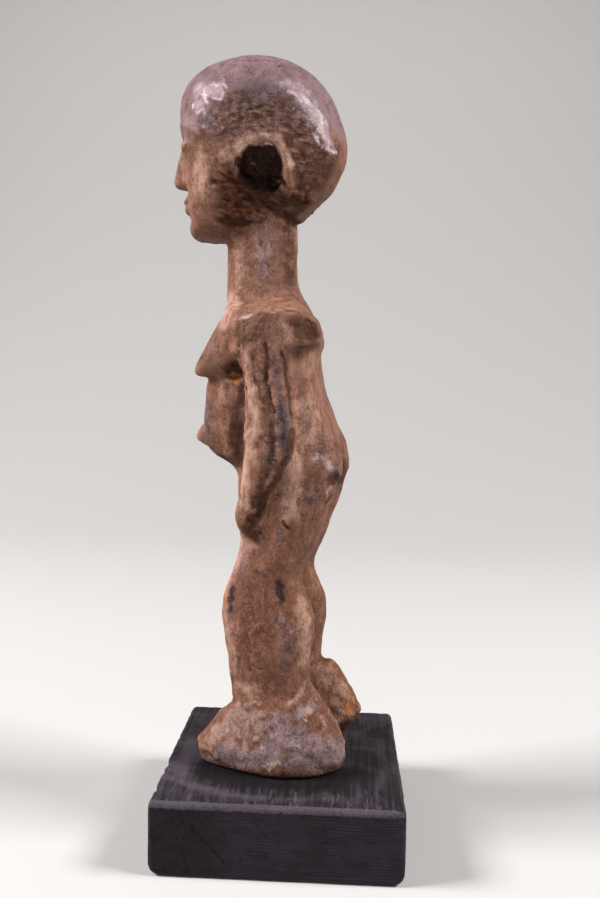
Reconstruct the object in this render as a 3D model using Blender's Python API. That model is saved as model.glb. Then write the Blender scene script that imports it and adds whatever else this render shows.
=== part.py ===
"""Wooden ancestor figure: a woman carved from one log, standing on a squared block of dark wood.

The figure faces -Y and its left side is at +X. The origin is under the middle of the block.
"""

import math

import bmesh
import bpy
from mathutils import Matrix, Vector

# Driving dimensions, in metres
FIGURE_HEIGHT = 0.1946
BLOCK_LENGTH = 0.066
BLOCK_WIDTH = 0.065
BLOCK_HEIGHT = 0.0193
BLOCK_TOP_ROUND = 0.0014
BLOCK_LOW_ROUND = 0.003
BLOCK_END_CHAMFER = 0.0011
SEAT_CLEARANCE = 0.0003

# Where the figure stands on the block, and how far it is turned from square to it
FIGURE_ASIDE = -0.004
FIGURE_FORWARD = -0.006
FIGURE_TURN = math.radians(-8)

# The carving is sized in shares of the figure's height. CARVED_MM is a millimetre on the figure
# when it stands 194.6 mm high, and every size and place below is in it.
CARVED_MM = FIGURE_HEIGHT / 194.6
VOXEL = 0.7
SOFTENING_ROUNDS = 2
TRIANGLES = 9400

# The log was carved with a slight twist: height, and degrees turned back from the feet's own way
TWIST = ((75, 0), (115, 5.5), (140, 5), (200, 4))

# Sections of upright forms, lowest first: height, front, back, half width, squareness.
# A squareness of 2 is an ellipse, and a higher one is nearer a rectangle.
NECK = (
    (116, -12.2, 12.4, 11.5, 2.3),
    (122, -12.6, 12.4, 11.3, 2.2),
    (126, -12.8, 10.6, 10.3, 2.2),
    (129.5, -12.9, 8.4, 9.2, 2.2),
    (133, -13.0, 7.0, 8.6, 2.2),
    (140, -13.0, 6.6, 8.4, 2.2),
    (156, -12.8, 6.6, 8.4, 2.2),
)
BELLY = (
    (50, 1.0, 7.0, 4.0, 2.2),
    (52, -2.0, 9.0, 9.0, 2.2),
    (55, -5.0, 11.5, 13.0, 2.4),
    (60, -6.8, 14.0, 15.0, 2.4),
    (68, -7.8, 16.0, 15.6, 2.4),
    (74, -8.4, 17.5, 15.0, 2.3),
    (79, -8.8, 18.0, 13.6, 2.2),
    (82, -11.4, 18.0, 12.4, 2.1),
    (85, -16.4, 17.4, 11.8, 2.1),
    (89, -19.0, 16.6, 11.6, 2.1),
    (93, -19.2, 15.8, 11.6, 2.1),
    (98, -18.8, 14.0, 11.9, 2.2),
    (104, -18.4, 12.4, 12.4, 2.3),
    (109, -16.4, 12.0, 13.0, 2.4),
    (116, -14.0, 12.0, 13.0, 2.5),
    (124, -12.6, 11.0, 11.5, 2.4),
)
BACK = (
    (66, 5.0, 14.0, 9.0, 2.3),
    (72, 4.0, 15.4, 11.0, 2.3),
    (78, 3.0, 16.8, 12.6, 2.4),
    (84, 2.0, 18.4, 14.6, 2.5),
    (88, 1.5, 19.0, 15.6, 2.6),
    (92, 1.5, 18.8, 16.3, 2.8),
    (96, 1.0, 17.5, 16.8, 3.3),
    (101, 1.0, 15.5, 17.0, 3.8),
    (106, 1.0, 14.2, 17.2, 4.0),
    (112, 1.0, 13.4, 17.2, 4.0),
    (118, 1.0, 13.2, 17.2, 4.0),
)
CRANIUM = (
    (147.4, -11.0, 6.2, 8.6, 2.1),
    (150, -12.0, 7.6, 10.2, 2.1),
    (154, -13.5, 11.6, 13.2, 2.1),
    (158.4, -16.0, 15.8, 16.0, 2.1),
    (162.8, -19.0, 18.4, 17.8, 2.1),
    (167.4, -22.5, 20.0, 18.8, 2.1),
    (172, -25.2, 19.8, 19.1, 2.1),
    (177, -26.6, 18.4, 18.6, 2.1),
    (181.5, -26.6, 16.6, 17.4, 2.1),
    (185.5, -25.4, 13.9, 15.4, 2.1),
    (188.9, -22.6, 10.6, 12.6, 2.1),
    (191.6, -18.6, 6.8, 9.4, 2.05),
    (193.4, -14.2, 2.4, 6.0, 2.0),
    (194.3, -10.4, -1.8, 3.4, 2.0),
    (194.6, -7.8, -4.4, 1.4, 2.0),
)
FACE = (
    (144.5, -19.5, -11.0, 5.0, 2.2),
    (146.5, -22.0, -9.0, 8.2, 2.3),
    (150, -23.2, -6.5, 11.0, 2.3),
    (155, -23.8, -3.0, 13.0, 2.3),
    (160, -24.2, 1.0, 14.6, 2.3),
    (166, -24.7, 4.0, 15.9, 2.3),
    (172, -25.6, 4.0, 16.6, 2.3),
    (178, -26.0, 2.0, 16.4, 2.3),
    (184, -25.0, 0.0, 14.6, 2.2),
)

# Sections of a limb of the left side: height, front, back, inner side, outer side, squareness
LEG = (
    (10, -6.2, 13.4, 3.6, 18.0, 2.4),
    (20.8, -7.2, 14.0, 3.2, 18.3, 2.4),
    (25.8, -8.0, 14.3, 3.0, 18.5, 2.4),
    (30.4, -8.7, 14.6, 2.8, 18.6, 2.4),
    (37.4, -9.7, 15.4, 2.6, 18.8, 2.4),
    (43.4, -10.3, 14.8, 2.4, 18.7, 2.3),
    (48.8, -9.0, 12.2, 2.2, 18.3, 2.3),
    (53.2, -7.4, 11.6, 2.0, 18.0, 2.3),
    (57.6, -6.0, 13.2, 1.6, 17.8, 2.3),
    (62, -5.5, 15.2, 1.0, 17.6, 2.3),
    (67, -5.6, 17.0, 0.8, 17.2, 2.3),
    (72, -5.6, 18.8, 0.8, 17.2, 2.3),
    (78, -5.0, 20.0, 0.8, 17.0, 2.3),
    (84, -4.0, 18.0, 1.5, 16.4, 2.3),
    (90, -3.0, 15.0, 3.0, 15.6, 2.3),
)
ARM = (
    (61.8, -3.0, 0.4, 13.2, 16.2, 2.0),
    (65, -4.9, 2.0, 12.2, 17.6, 2.2),
    (69, -6.2, 3.4, 11.6, 18.4, 2.4),
    (74, -4.8, 5.2, 11.2, 19.3, 2.8),
    (80, -4.4, 7.8, 10.8, 20.0, 3.2),
    (86, -4.0, 10.0, 10.6, 20.4, 3.6),
    (90, -3.9, 10.4, 10.6, 20.4, 3.6),
    (96, -3.9, 10.0, 10.8, 20.3, 3.6),
    (102, -4.2, 9.4, 10.8, 20.3, 3.6),
    (108, -5.4, 8.8, 11.0, 20.5, 3.6),
    (113, -7.0, 8.4, 11.0, 20.8, 3.6),
    (119, -7.9, 8.4, 11.0, 20.8, 3.8),
)

# Corners of forms cut with flat strokes, as x, y, z, on the left side
YOKE = (
    (19.6, -8.2, 121.3),
    (20.6, 1.2, 124.0),
    (20.4, 8.0, 124.0),
    (19.4, 13.4, 121.8),
    (18.8, 15.0, 118.4),
    (18.8, 14.9, 115.0),
    (20.5, 11.2, 114.8),
    (20.6, 6.0, 114.6),
    (20.2, -7.2, 112.4),
    (7.8, -12.0, 126.2),
    (8.0, 6.6, 128.6),
    (6.0, 13.8, 122.0),
    (6.0, 13.6, 115.0),
    (8.0, -12.6, 115.0),
)
# How deep the right shoulder is behind the neck, as a share of the left
RIGHT_YOKE_SHARE = 0.9
FOOT_SOLE = (
    (4.4, -16.0),
    (10.4, -16.2),
    (14.6, -14.0),
    (17.0, -9.6),
    (18.4, -3.0),
    (20.0, 3.4),
    (20.2, 8.0),
    (19.2, 13.6),
    (17.0, 18.4),
    (13.8, 22.2),
    (10.2, 23.9),
    (8.0, 22.4),
    (6.2, 17.4),
    (3.6, 9.0),
    (2.8, -2.0),
    (3.0, -11.0),
)
FOOT_SOLE_BEVEL = (1.3, 3.2)
FOOT_TOP = (
    (4.0, -16.8, 4.4),
    (10.4, -17.6, 3.8),
    (15.4, -15.2, 3.9),
    (18.4, -10.0, 5.6),
    (20.8, 3.0, 8.0),
    (20.6, 9.0, 8.4),
    (18.4, 18.0, 8.0),
    (14.4, 22.6, 8.2),
    (10.2, 24.6, 8.8),
    (7.4, 22.0, 8.6),
    (2.6, 3.0, 9.0),
    (5.0, -12.0, 11.2),
    (13.4, -11.8, 11.4),
    (5.6, -7.4, 15.6),
    (12.6, -6.6, 16.8),
    (17.8, -3.8, 19.2),
    (19.3, 3.6, 18.9),
    (17.8, 12.0, 20.0),
    (13.2, 16.6, 20.2),
    (10.6, 14.0, 24.0),
    (6.0, 14.0, 21.6),
    (6.6, 18.8, 16.4),
    (11.0, 21.0, 14.6),
    (3.4, -3.6, 17.6),
)
# The right foot is set further back: where its heel is, its length as a share of the left's, how
# much narrower all round its sole is cut, and how far its heel, behind HEEL_START, is cut away below
RIGHT_HEEL = 27.4
RIGHT_FOOT_SHARE = 0.93
RIGHT_SOLE_INSET = 2.4
HEEL_START = 12.0
RIGHT_HEEL_INSET = 8.0

# Rounded forms: where the tip and the root are, and the radii there
NAVEL_TIP = (0, -20.3, 89.4)
NAVEL_ROOT = (0, -13.6, 91.0)
NAVEL_RADII = (2.3, 7.8)
BUTTOCK_TIP = (8.0, 17.3, 82.0)
BUTTOCK_ROOT = (8.0, 9.0, 83.0)
BUTTOCK_RADII = (5.0, 11.5)
BUTTOCK_ROUND = ((8.2, 9.4, 83.4), (9.0, 12.2, 14.0))
BREAST_TIP = (8.0, -19.8, 107.5)
BREAST_ROOT = (8.8, -9.0, 113.6)
BREAST_RADII = (1.5, 8.6)
BREAST_TOP = ((4.0, -12.2, 126.6), (8.0, -11.4, 125.6))

# Corners of what fills the space between a breast and the arm, under the shoulder
ARMPIT = (
    (18.8, -8.2, 120.6),
    (19.4, -6.8, 112.0),
    (19.8, -3.6, 111.8),
    (20.0, -4.0, 120.0),
    (14.0, -11.4, 110.4),
    (13.4, -13.0, 119.4),
    (10.0, -5.0, 111.0),
    (10.0, -5.0, 121.0),
)

# The face is set out by thirds, with the eyes halfway between the chin and the crown
BROW_HEIGHT = 173.6
EYE_HEIGHT = 168.8
NOSE_FOOT = 159.2
MOUTH_HEIGHT = 154.2
EYE_ASIDE = 6.6
NOSE = (
    (1.8, -21.0, BROW_HEIGHT),
    (1.2, -26.2, BROW_HEIGHT - 1.4),
    (1.1, -27.2, 166.0),
    (1.7, -28.8, NOSE_FOOT + 1.6),
    (3.2, -25.6, NOSE_FOOT + 2.2),
    (1.3, -28.4, NOSE_FOOT),
    (3.5, -25.8, NOSE_FOOT),
    (3.5, -22.0, NOSE_FOOT),
)
BROW_LINE = (
    (1.8, -25.1, BROW_HEIGHT - 0.6),
    (5.0, -25.1, BROW_HEIGHT + 0.8),
    (9.0, -23.9, BROW_HEIGHT + 0.9),
    (12.4, -21.3, BROW_HEIGHT - 0.8),
    (14.8, -17.9, BROW_HEIGHT - 3.4),
)
BROW_ROLL = 1.2
EYE_HOLLOW = ((EYE_ASIDE + 0.4, -27.0, EYE_HEIGHT), (5.6, 3.9, 3.3))
EYELID = ((EYE_ASIDE, -23.1, EYE_HEIGHT - 0.4), (4.5, 2.1, 2.1))
UPPER_LIP = ((0, -23.9, MOUTH_HEIGHT + 1.15), (4.8, 2.1, 1.15))
LOWER_LIP = ((0, -23.6, MOUTH_HEIGHT - 1.15), (4.2, 2.1, 1.25))
CHIN = ((0, -20.2, 147.6), (5.6, 3.7, 3.4))

# The left ear: a horseshoe of wood round a hollow, open below. Its line is x, y, z from the front.
EAR_LINE = (
    (15.3, -8.0, 159.4),
    (16.6, -7.3, 163.2),
    (17.8, -4.6, 166.6),
    (18.5, -0.6, 167.8),
    (18.1, 3.2, 165.6),
    (17.0, 5.2, 161.6),
    (15.4, 5.9, 157.6),
    (13.6, 5.6, 154.8),
)
EAR_ROLL = 1.25
EAR_HOLLOWS = (
    ((19.6, -3.0, 158.8), (7.2, 4.0, 6.8)),
    ((19.6, 0.8, 158.6), (7.4, 4.2, 8.0)),
    ((18.0, -2.0, 153.6), (6.6, 5.2, 4.6)),
)

# The pocket between the left breast and the arm
POCKET = ((14.6, -8.6, 107.6), (5.6, 3.2, 2.6))

# The fold down the outside of the left arm
ARM_FOLD = (
    (22.0, -1.0, 111.0),
    (21.0, 1.4, 104.0),
    (20.7, 3.4, 97.0),
    (20.8, 4.6, 90.0),
    (20.3, 3.2, 81.0),
    (19.4, 0.6, 72.0),
)
ARM_FOLD_RADIUS = 1.2


def twist_at(height):
    """Radians turned back at a height, between the rows of TWIST."""
    if height <= TWIST[0][0]:
        return math.radians(TWIST[0][1])
    for (low, start), (high, end) in zip(TWIST, TWIST[1:]):
        if height <= high:
            return math.radians(start + (end - start) * (height - low) / (high - low))
    return math.radians(TWIST[-1][1])


def smooth_sections(sections, steps):
    """The sections with steps - 1 more between each pair, on a smooth curve through them."""
    rows = [sections[0], *sections, sections[-1]]
    found = []
    for a, b, c, d in zip(rows, rows[1:], rows[2:], rows[3:]):
        for step in range(steps):
            t = step / steps
            row = []
            for p, q, r, s in zip(a, b, c, d):
                bend = (2 * p - 5 * q + 4 * r - s) * t**2 + (3 * q - p - 3 * r + s) * t**3
                row.append(0.5 * (2 * q + (r - p) * t + bend))
            found.append(row)
    found.append(list(sections[-1]))
    return found


def rounded_ring(centre, half_width, half_depth, squareness, sides):
    """Points round a level ring, from an ellipse to nearly a rectangle."""
    points = []
    for side in range(sides):
        angle = 2 * math.pi * side / sides
        along, across = math.cos(angle), math.sin(angle)
        x = half_width * math.copysign(abs(along) ** (2 / squareness), along)
        y = half_depth * math.copysign(abs(across) ** (2 / squareness), across)
        points.append(centre + Vector((x, y, 0)))
    return points


def add_loft(bm, rings):
    """A closed skin over rings of the same number of points, lowest first."""
    loops = [[bm.verts.new(point) for point in ring] for ring in rings]
    for low, high in zip(loops, loops[1:]):
        for i, vertex in enumerate(low):
            beside = (i + 1) % len(low)
            bm.faces.new((vertex, low[beside], high[beside], high[i]))
    bm.faces.new(reversed(loops[0]))
    bm.faces.new(loops[-1])


def add_middle_form(bm, sections, sides=40, steps=4):
    """An upright form on the figure's middle plane."""
    rings = []
    for height, front, back, half_width, squareness in smooth_sections(sections, steps):
        centre = Vector((0, (front + back) / 2, height))
        rings.append(rounded_ring(centre, half_width, (back - front) / 2, squareness, sides))
    add_loft(bm, rings)


def add_limb(bm, sections, side, sides=32, steps=4):
    """An upright form on one side of the figure: side is 1 for its left and -1 for its right."""
    rings = []
    for height, front, back, inner, outer, squareness in smooth_sections(sections, steps):
        centre = Vector((side * (inner + outer) / 2, (front + back) / 2, height))
        rings.append(rounded_ring(centre, (outer - inner) / 2, (back - front) / 2, squareness, sides))
    add_loft(bm, rings)


def add_ellipsoid(bm, centre, half_sizes, side=1):
    place = Matrix.Translation((side * centre[0], centre[1], centre[2])) @ Matrix.Diagonal((*half_sizes, 1))
    bmesh.ops.create_icosphere(bm, subdivisions=4, radius=1, matrix=place)


def add_hull(bm, points):
    """The smallest faceted form that holds all the points, as flat cuts of a knife leave it."""
    vertices = [bm.verts.new(point) for point in points]
    made = bmesh.ops.convex_hull(bm, input=vertices)
    spare = [item for item in made["geom_interior"] if isinstance(item, bmesh.types.BMVert)]
    bmesh.ops.delete(bm, geom=spare, context="VERTS")


def cone_points(tip, root, radii, sides=24):
    """Points of a cone whose tip is rounded off: radii are the tip's and the root's."""
    axis = Vector(tip) - Vector(root)
    turn = axis.to_track_quat("Z", "Y")
    points = [Vector(tip) + axis.normalized() * radii[0]]
    for centre, radius in ((Vector(tip), radii[0]), (Vector(root), radii[1])):
        for side in range(sides):
            angle = 2 * math.pi * side / sides
            points.append(centre + turn @ Vector((math.cos(angle), math.sin(angle), 0)) * radius)
    return points


def add_roll(bm, line, radius, sides=12):
    """A round roll of wood along a line, as closed rods and balls that overlap."""
    for start, end in zip(line, line[1:]):
        a, b = Vector(start), Vector(end)
        turn = (b - a).to_track_quat("Z", "Y").to_matrix().to_4x4()
        place = Matrix.Translation((a + b) / 2) @ turn
        depth = (b - a).length
        bmesh.ops.create_cone(
            bm, cap_ends=True, segments=sides, radius1=radius, radius2=radius, depth=depth, matrix=place
        )
    for point in line:
        place = Matrix.Translation(Vector(point))
        bmesh.ops.create_icosphere(bm, subdivisions=2, radius=radius, matrix=place)


def on_side(points, side):
    return [Vector((side * x, y, z)) for x, y, z in points]


def yoke_points(side):
    """The corners of one shoulder's end of the yoke."""
    share = 1 if side > 0 else RIGHT_YOKE_SHARE
    return on_side([(x, y * share if y > 0 else y, z) for x, y, z in YOKE], side)


def foot_points(side):
    """The corners of one foot: its flat sole, the bevel round it and the facets of its top."""
    inset, rise = FOOT_SOLE_BEVEL
    middle = Vector((11.5, 4.0))
    points = []
    for x, y in FOOT_SOLE:
        outward = (Vector((x, y)) - middle).normalized()
        tuck = 0
        if side < 0:
            tuck = RIGHT_HEEL_INSET if y > HEEL_START else RIGHT_SOLE_INSET
        points.append((x - outward.x * tuck, y - outward.y * tuck, -2.0))
        if tuck != RIGHT_HEEL_INSET:
            points.append((x + outward.x * inset, y + outward.y * inset, rise))
    points += FOOT_TOP
    if side < 0:
        heel = max(y for x, y, z in points)
        points = [(x, RIGHT_HEEL - (heel - y) * RIGHT_FOOT_SHARE, z) for x, y, z in points]
    return on_side(points, side)


def add_body(bm):
    """Everything below the head that stands out from the log."""
    for sections in (NECK, BELLY, BACK):
        add_middle_form(bm, sections)
    add_hull(bm, cone_points(NAVEL_TIP, NAVEL_ROOT, NAVEL_RADII))
    add_hull(bm, yoke_points(1) + yoke_points(-1))
    for side in (1, -1):
        add_limb(bm, LEG, side)
        add_limb(bm, ARM, side)
        add_hull(bm, foot_points(side))
        add_hull(bm, on_side(cone_points(BUTTOCK_TIP, BUTTOCK_ROOT, BUTTOCK_RADII), side))
        add_ellipsoid(bm, *BUTTOCK_ROUND, side)
        breast = cone_points(BREAST_TIP, BREAST_ROOT, BREAST_RADII)
        add_hull(bm, on_side([*breast, *BREAST_TOP], side))
        add_hull(bm, on_side(ARMPIT, side))


def add_head(bm):
    """The skull, the face and the ears."""
    add_middle_form(bm, CRANIUM)
    add_middle_form(bm, FACE)
    add_hull(bm, on_side(NOSE, 1) + on_side(NOSE, -1))
    for form in (UPPER_LIP, LOWER_LIP, CHIN):
        add_ellipsoid(bm, *form)
    for side in (1, -1):
        add_roll(bm, on_side(BROW_LINE, side), BROW_ROLL)
        add_roll(bm, on_side(EAR_LINE, side), EAR_ROLL)


def add_cuts(bm):
    """What is cut away: the ears' hollows, the eyes' hollows, the pockets and the arms' folds."""
    for side in (1, -1):
        for hollow in EAR_HOLLOWS:
            add_ellipsoid(bm, *hollow, side)
        add_ellipsoid(bm, *POCKET, side)
        add_ellipsoid(bm, *EYE_HOLLOW, side)
        add_roll(bm, on_side(ARM_FOLD, side), ARM_FOLD_RADIUS)


def add_eyelids(bm):
    """The lids of the closed eyes, which stand inside the eyes' hollows."""
    for side in (1, -1):
        add_ellipsoid(bm, *EYELID, side)


def add_under_floor(bm):
    """All that is below the soles, which a flat cut takes off."""
    bmesh.ops.create_cube(bm, size=80, matrix=Matrix.Translation((0, 0, -40)))


def object_from(name, *builders):
    """A new object with what the builders add, twisted as the log is and brought to size."""
    bm = bmesh.new()
    for build in builders:
        build(bm)
    bmesh.ops.recalc_face_normals(bm, faces=bm.faces)
    for vertex in bm.verts:
        vertex.co.rotate(Matrix.Rotation(twist_at(vertex.co.z), 3, "Z"))
        vertex.co *= CARVED_MM
    mesh = bpy.data.meshes.new(name)
    bm.to_mesh(mesh)
    bm.free()
    made = bpy.data.objects.new(name, mesh)
    bpy.context.scene.collection.objects.link(made)
    return made


def bake(target):
    """Make the modifiers' result the object's own mesh."""
    seen = bpy.context.evaluated_depsgraph_get()
    mesh = bpy.data.meshes.new_from_object(target.evaluated_get(seen))
    target.modifiers.clear()
    target.data = mesh


def carve(target, operation, helper, rebuilt=True):
    """Join the helper to the target, or cut it away, and remove the helper."""
    if rebuilt:
        grow_together(helper, 0, 0.5)
    modifier = target.modifiers.new(operation, "BOOLEAN")
    modifier.operation = operation
    modifier.object = helper
    modifier.solver = "EXACT"
    bake(target)
    bpy.data.objects.remove(helper)


def grow_together(target, rounds, share=1):
    """One closed skin round overlapping forms, with its edges worn soft."""
    skin = target.modifiers.new("skin", "REMESH")
    skin.mode = "VOXEL"
    skin.voxel_size = VOXEL * share * CARVED_MM
    soften = target.modifiers.new("soften", "SMOOTH")
    soften.factor = 0.5
    soften.iterations = rounds
    bake(target)


def material(name, colour, roughness):
    made = bpy.data.materials.new(name)
    made.use_nodes = True
    shader = made.node_tree.nodes["Principled BSDF"]
    shader.inputs["Base Color"].default_value = (*colour, 1)
    shader.inputs["Roughness"].default_value = roughness
    shader.inputs["Metallic"].default_value = 0
    made.diffuse_color = (*colour, 1)
    return made


def make_figure():
    """The figure, one solid: every form grown together, hollows cut and soles cut flat."""
    figure = object_from("figure", add_body, add_head)
    grow_together(figure, SOFTENING_ROUNDS)
    carve(figure, "DIFFERENCE", object_from("hollows", add_cuts))
    carve(figure, "UNION", object_from("eyelids", add_eyelids))
    grow_together(figure, SOFTENING_ROUNDS - 1)
    thin = figure.modifiers.new("thin", "DECIMATE")
    thin.ratio = TRIANGLES / (2 * len(figure.data.polygons))
    bake(figure)
    carve(figure, "DIFFERENCE", object_from("floor", add_under_floor), rebuilt=False)
    seat = Vector((FIGURE_ASIDE, FIGURE_FORWARD, BLOCK_HEIGHT + SEAT_CLEARANCE))
    figure.data.transform(Matrix.Translation(seat) @ Matrix.Rotation(FIGURE_TURN, 4, "Z"))
    figure.data.shade_smooth()
    figure.data.materials.append(material("carved_wood", (0.23, 0.13, 0.085), 0.62))


def corner_arc(across, up, radius, start, steps):
    """Points of a rounded corner in the block's section, whose middle is at across, up."""
    turns = [math.radians(start + 90 * step / steps) for step in range(steps + 1)]
    return [(across + radius * math.cos(turn), up + radius * math.sin(turn)) for turn in turns]


def make_block():
    """The squared block. Its grain runs along X, and its long edges are rounded over."""
    half, low, top = BLOCK_WIDTH / 2, BLOCK_LOW_ROUND, BLOCK_TOP_ROUND
    section = corner_arc(half - low, low, low, -90, 5)
    section += corner_arc(half - top, BLOCK_HEIGHT - top, top, 0, 3)
    section += corner_arc(top - half, BLOCK_HEIGHT - top, top, 90, 3)
    section += corner_arc(low - half, low, low, 180, 5)
    bm = bmesh.new()
    face = bm.faces.new([bm.verts.new((BLOCK_LENGTH / 2, y, z)) for y, z in section])
    pushed = bmesh.ops.extrude_face_region(bm, geom=[face])["geom"]
    moved = [item for item in pushed if isinstance(item, bmesh.types.BMVert)]
    bmesh.ops.translate(bm, verts=moved, vec=(-BLOCK_LENGTH, 0, 0))
    bmesh.ops.recalc_face_normals(bm, faces=bm.faces)
    ends = [edge for edge in bm.edges if abs(edge.verts[0].co.x - edge.verts[1].co.x) < BLOCK_LENGTH / 2]
    bmesh.ops.bevel(bm, geom=ends, offset=BLOCK_END_CHAMFER, segments=2, profile=0.5, affect="EDGES")
    mesh = bpy.data.meshes.new("base_block")
    bm.to_mesh(mesh)
    bm.free()
    block = bpy.data.objects.new("base_block", mesh)
    bpy.context.scene.collection.objects.link(block)
    mesh.materials.append(material("black_stained_wood", (0.030, 0.026, 0.030), 0.75))


def main():
    for old in list(bpy.data.objects):
        bpy.data.objects.remove(old)
    make_figure()
    make_block()


main()
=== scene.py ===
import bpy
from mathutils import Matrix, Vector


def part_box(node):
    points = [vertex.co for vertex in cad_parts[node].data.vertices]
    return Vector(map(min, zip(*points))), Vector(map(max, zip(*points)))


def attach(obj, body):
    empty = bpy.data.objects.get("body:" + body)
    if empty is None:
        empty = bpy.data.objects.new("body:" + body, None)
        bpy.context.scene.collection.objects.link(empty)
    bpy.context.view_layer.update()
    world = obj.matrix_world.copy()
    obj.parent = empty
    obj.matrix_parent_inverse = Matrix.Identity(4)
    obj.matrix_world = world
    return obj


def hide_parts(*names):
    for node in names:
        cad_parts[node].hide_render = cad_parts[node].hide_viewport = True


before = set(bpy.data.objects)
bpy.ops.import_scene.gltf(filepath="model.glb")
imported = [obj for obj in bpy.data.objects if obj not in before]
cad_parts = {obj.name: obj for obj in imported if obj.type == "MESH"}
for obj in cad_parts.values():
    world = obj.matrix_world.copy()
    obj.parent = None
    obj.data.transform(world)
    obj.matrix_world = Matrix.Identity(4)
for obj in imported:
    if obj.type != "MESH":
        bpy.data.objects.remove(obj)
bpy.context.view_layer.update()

import math

import bpy
import numpy as np
from mathutils import Matrix, Vector


# The block: a squared piece of hardwood, sawn to length, stained black and left dry. It lies on its
# flat underside and the figure stands on it. Its ends show the saw's lines and its top edges are
# rubbed grey.

MM = 0.001
scene = bpy.context.scene
BLOCK_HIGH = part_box("base_block")[1] / MM
BLOCK_MESH = 0.45 * MM
TOP = 19.4  # where strokes on the upper face are drawn
END = 33  # and those on the near end
EDGE_REACH = 2.5  # how far in from an edge its wear goes
NICK_DEPTH = 1.3
SCRATCH_DEPTH = 0.12
DRAWN_IN = (0.9955, 0.9955, 0.998)  # which keeps the bumps within the true size
WAVES = ((8.0, 1.0), (2.7, 0.45))  # how a brush sways: the length of each wave, and its share


def taken_up(piece):
    """Make the piece the only selected one, ready for the next tool."""
    bpy.ops.object.select_all(action="DESELECT")
    piece.select_set(True)
    bpy.context.view_layer.objects.active = piece


def rough_out(node, name):
    """A new piece in the shape of the part's node, as one closed skin."""
    piece = bpy.data.objects.new(name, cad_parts[node].data.copy())
    scene.collection.objects.link(piece)
    taken_up(piece)
    bpy.ops.mesh.customdata_custom_splitnormals_clear()
    bpy.ops.object.mode_set(mode="EDIT")
    bpy.ops.mesh.select_all(action="SELECT")
    bpy.ops.mesh.remove_doubles(threshold=1e-6)
    bpy.ops.object.mode_set(mode="OBJECT")
    piece.data.materials.clear()
    return piece


def work(piece, kind, **settings):
    """Give the piece one modifier and apply it."""
    taken_up(piece)
    modifier = piece.modifiers.new(kind.lower(), kind)
    for name, value in settings.items():
        setattr(modifier, name, value)
    bpy.ops.object.modifier_apply(modifier=modifier.name)


def places_of(piece):
    """Every point of the piece, in millimetres, one row each."""
    flat = np.empty(3 * len(piece.data.vertices))
    piece.data.vertices.foreach_get("co", flat)
    return flat.reshape(-1, 3) / MM


def swayed(points, sway):
    """The points shifted by smooth waves, so that a straight stroke drawn among them runs unevenly."""
    shifted = points.copy()
    for size, share in WAVES:
        turn = points * (2 * math.pi / size)
        for axis in range(3):
            a, b = turn[:, (axis + 1) % 3], turn[:, (axis + 2) % 3]
            wave = np.sin(a + 0.7 * b + axis) + 0.6 * np.sin(1.9 * b - 1.3 * a)
            shifted[:, axis] += sway * share * wave / 1.6
    return shifted


def brushed(piece, strokes, sway=0.5):
    """How deep each point of the piece lies in the strokes of a brush, from 0 to 1.

    A stroke is its radius, its strength and the places, in millimetres, that it runs through.
    """
    points = swayed(places_of(piece), sway)
    depth = np.zeros(len(points))
    for radius, strength, *line in strokes:
        line = [np.array(place) for place in line]
        for start, end in zip(line, line[1:] or line):
            reach = radius + np.linalg.norm(end - start) / 2
            near = np.flatnonzero(np.abs(points - (start + end) / 2).max(axis=1) < reach)
            along = end - start
            share = np.clip((points[near] - start) @ along / max(along @ along, 1e-9), 0, 1)
            away = np.linalg.norm(points[near] - start - share[:, None] * along, axis=1)
            depth[near] = np.maximum(depth[near], strength * np.clip(1 - away / radius, 0, None))
    return depth


def mask(piece, name, weights):
    """A vertex group of the piece with these weights."""
    group = piece.vertex_groups.new(name=name)
    for index in np.flatnonzero(weights > 0.001):
        group.add([int(index)], float(weights[index]), "REPLACE")
    return name


def push(piece, weights, height):
    """Raise the weighted points along their normals by the height, or sink them, in millimetres."""
    group = mask(piece, "push", weights)
    work(piece, "DISPLACE", strength=height * MM, mid_level=0.0, vertex_group=group)
    piece.vertex_groups.remove(piece.vertex_groups[group])


def roughen(piece, pattern, grain, height, weights, tilt=0, depth=1):
    """Push the weighted surface in and out by a pattern of this grain along X, Y and Z.

    A tilt below 0 slopes the grain down towards the back, in degrees. More depth breaks clouds up finer.
    """
    texture = bpy.data.textures.new("grain", pattern)
    texture.noise_scale = 1.0
    if pattern == "CLOUDS":
        texture.noise_depth = depth
    guide = bpy.data.objects.new("guide", None)
    scene.collection.objects.link(guide)
    guide.scale = Vector(grain) * MM
    guide.rotation_euler.x = math.radians(tilt)
    bpy.context.view_layer.update()
    group = mask(piece, "rough", weights)
    work(
        piece, "DISPLACE", texture=texture, texture_coords="OBJECT", texture_coords_object=guide,
        strength=height * MM, mid_level=0.5, vertex_group=group,
    )
    piece.vertex_groups.remove(piece.vertex_groups[group])
    bpy.data.objects.remove(guide)
    bpy.data.textures.remove(texture)


def draw_in(piece, factors, height):
    """Scale the whole piece about the middle of the block, at this height."""
    taken_up(piece)
    bpy.ops.object.mode_set(mode="EDIT")
    bpy.ops.mesh.select_all(action="SELECT")
    bpy.ops.transform.resize(value=factors, center_override=(0, 0, height))
    bpy.ops.object.mode_set(mode="OBJECT")


def tint(piece, name, weights):
    """Store weights on the piece's points, for its material to read."""
    layer = piece.data.attributes.new(name, "FLOAT", "POINT")
    layer.data.foreach_set("value", weights.astype(np.float32))


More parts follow.
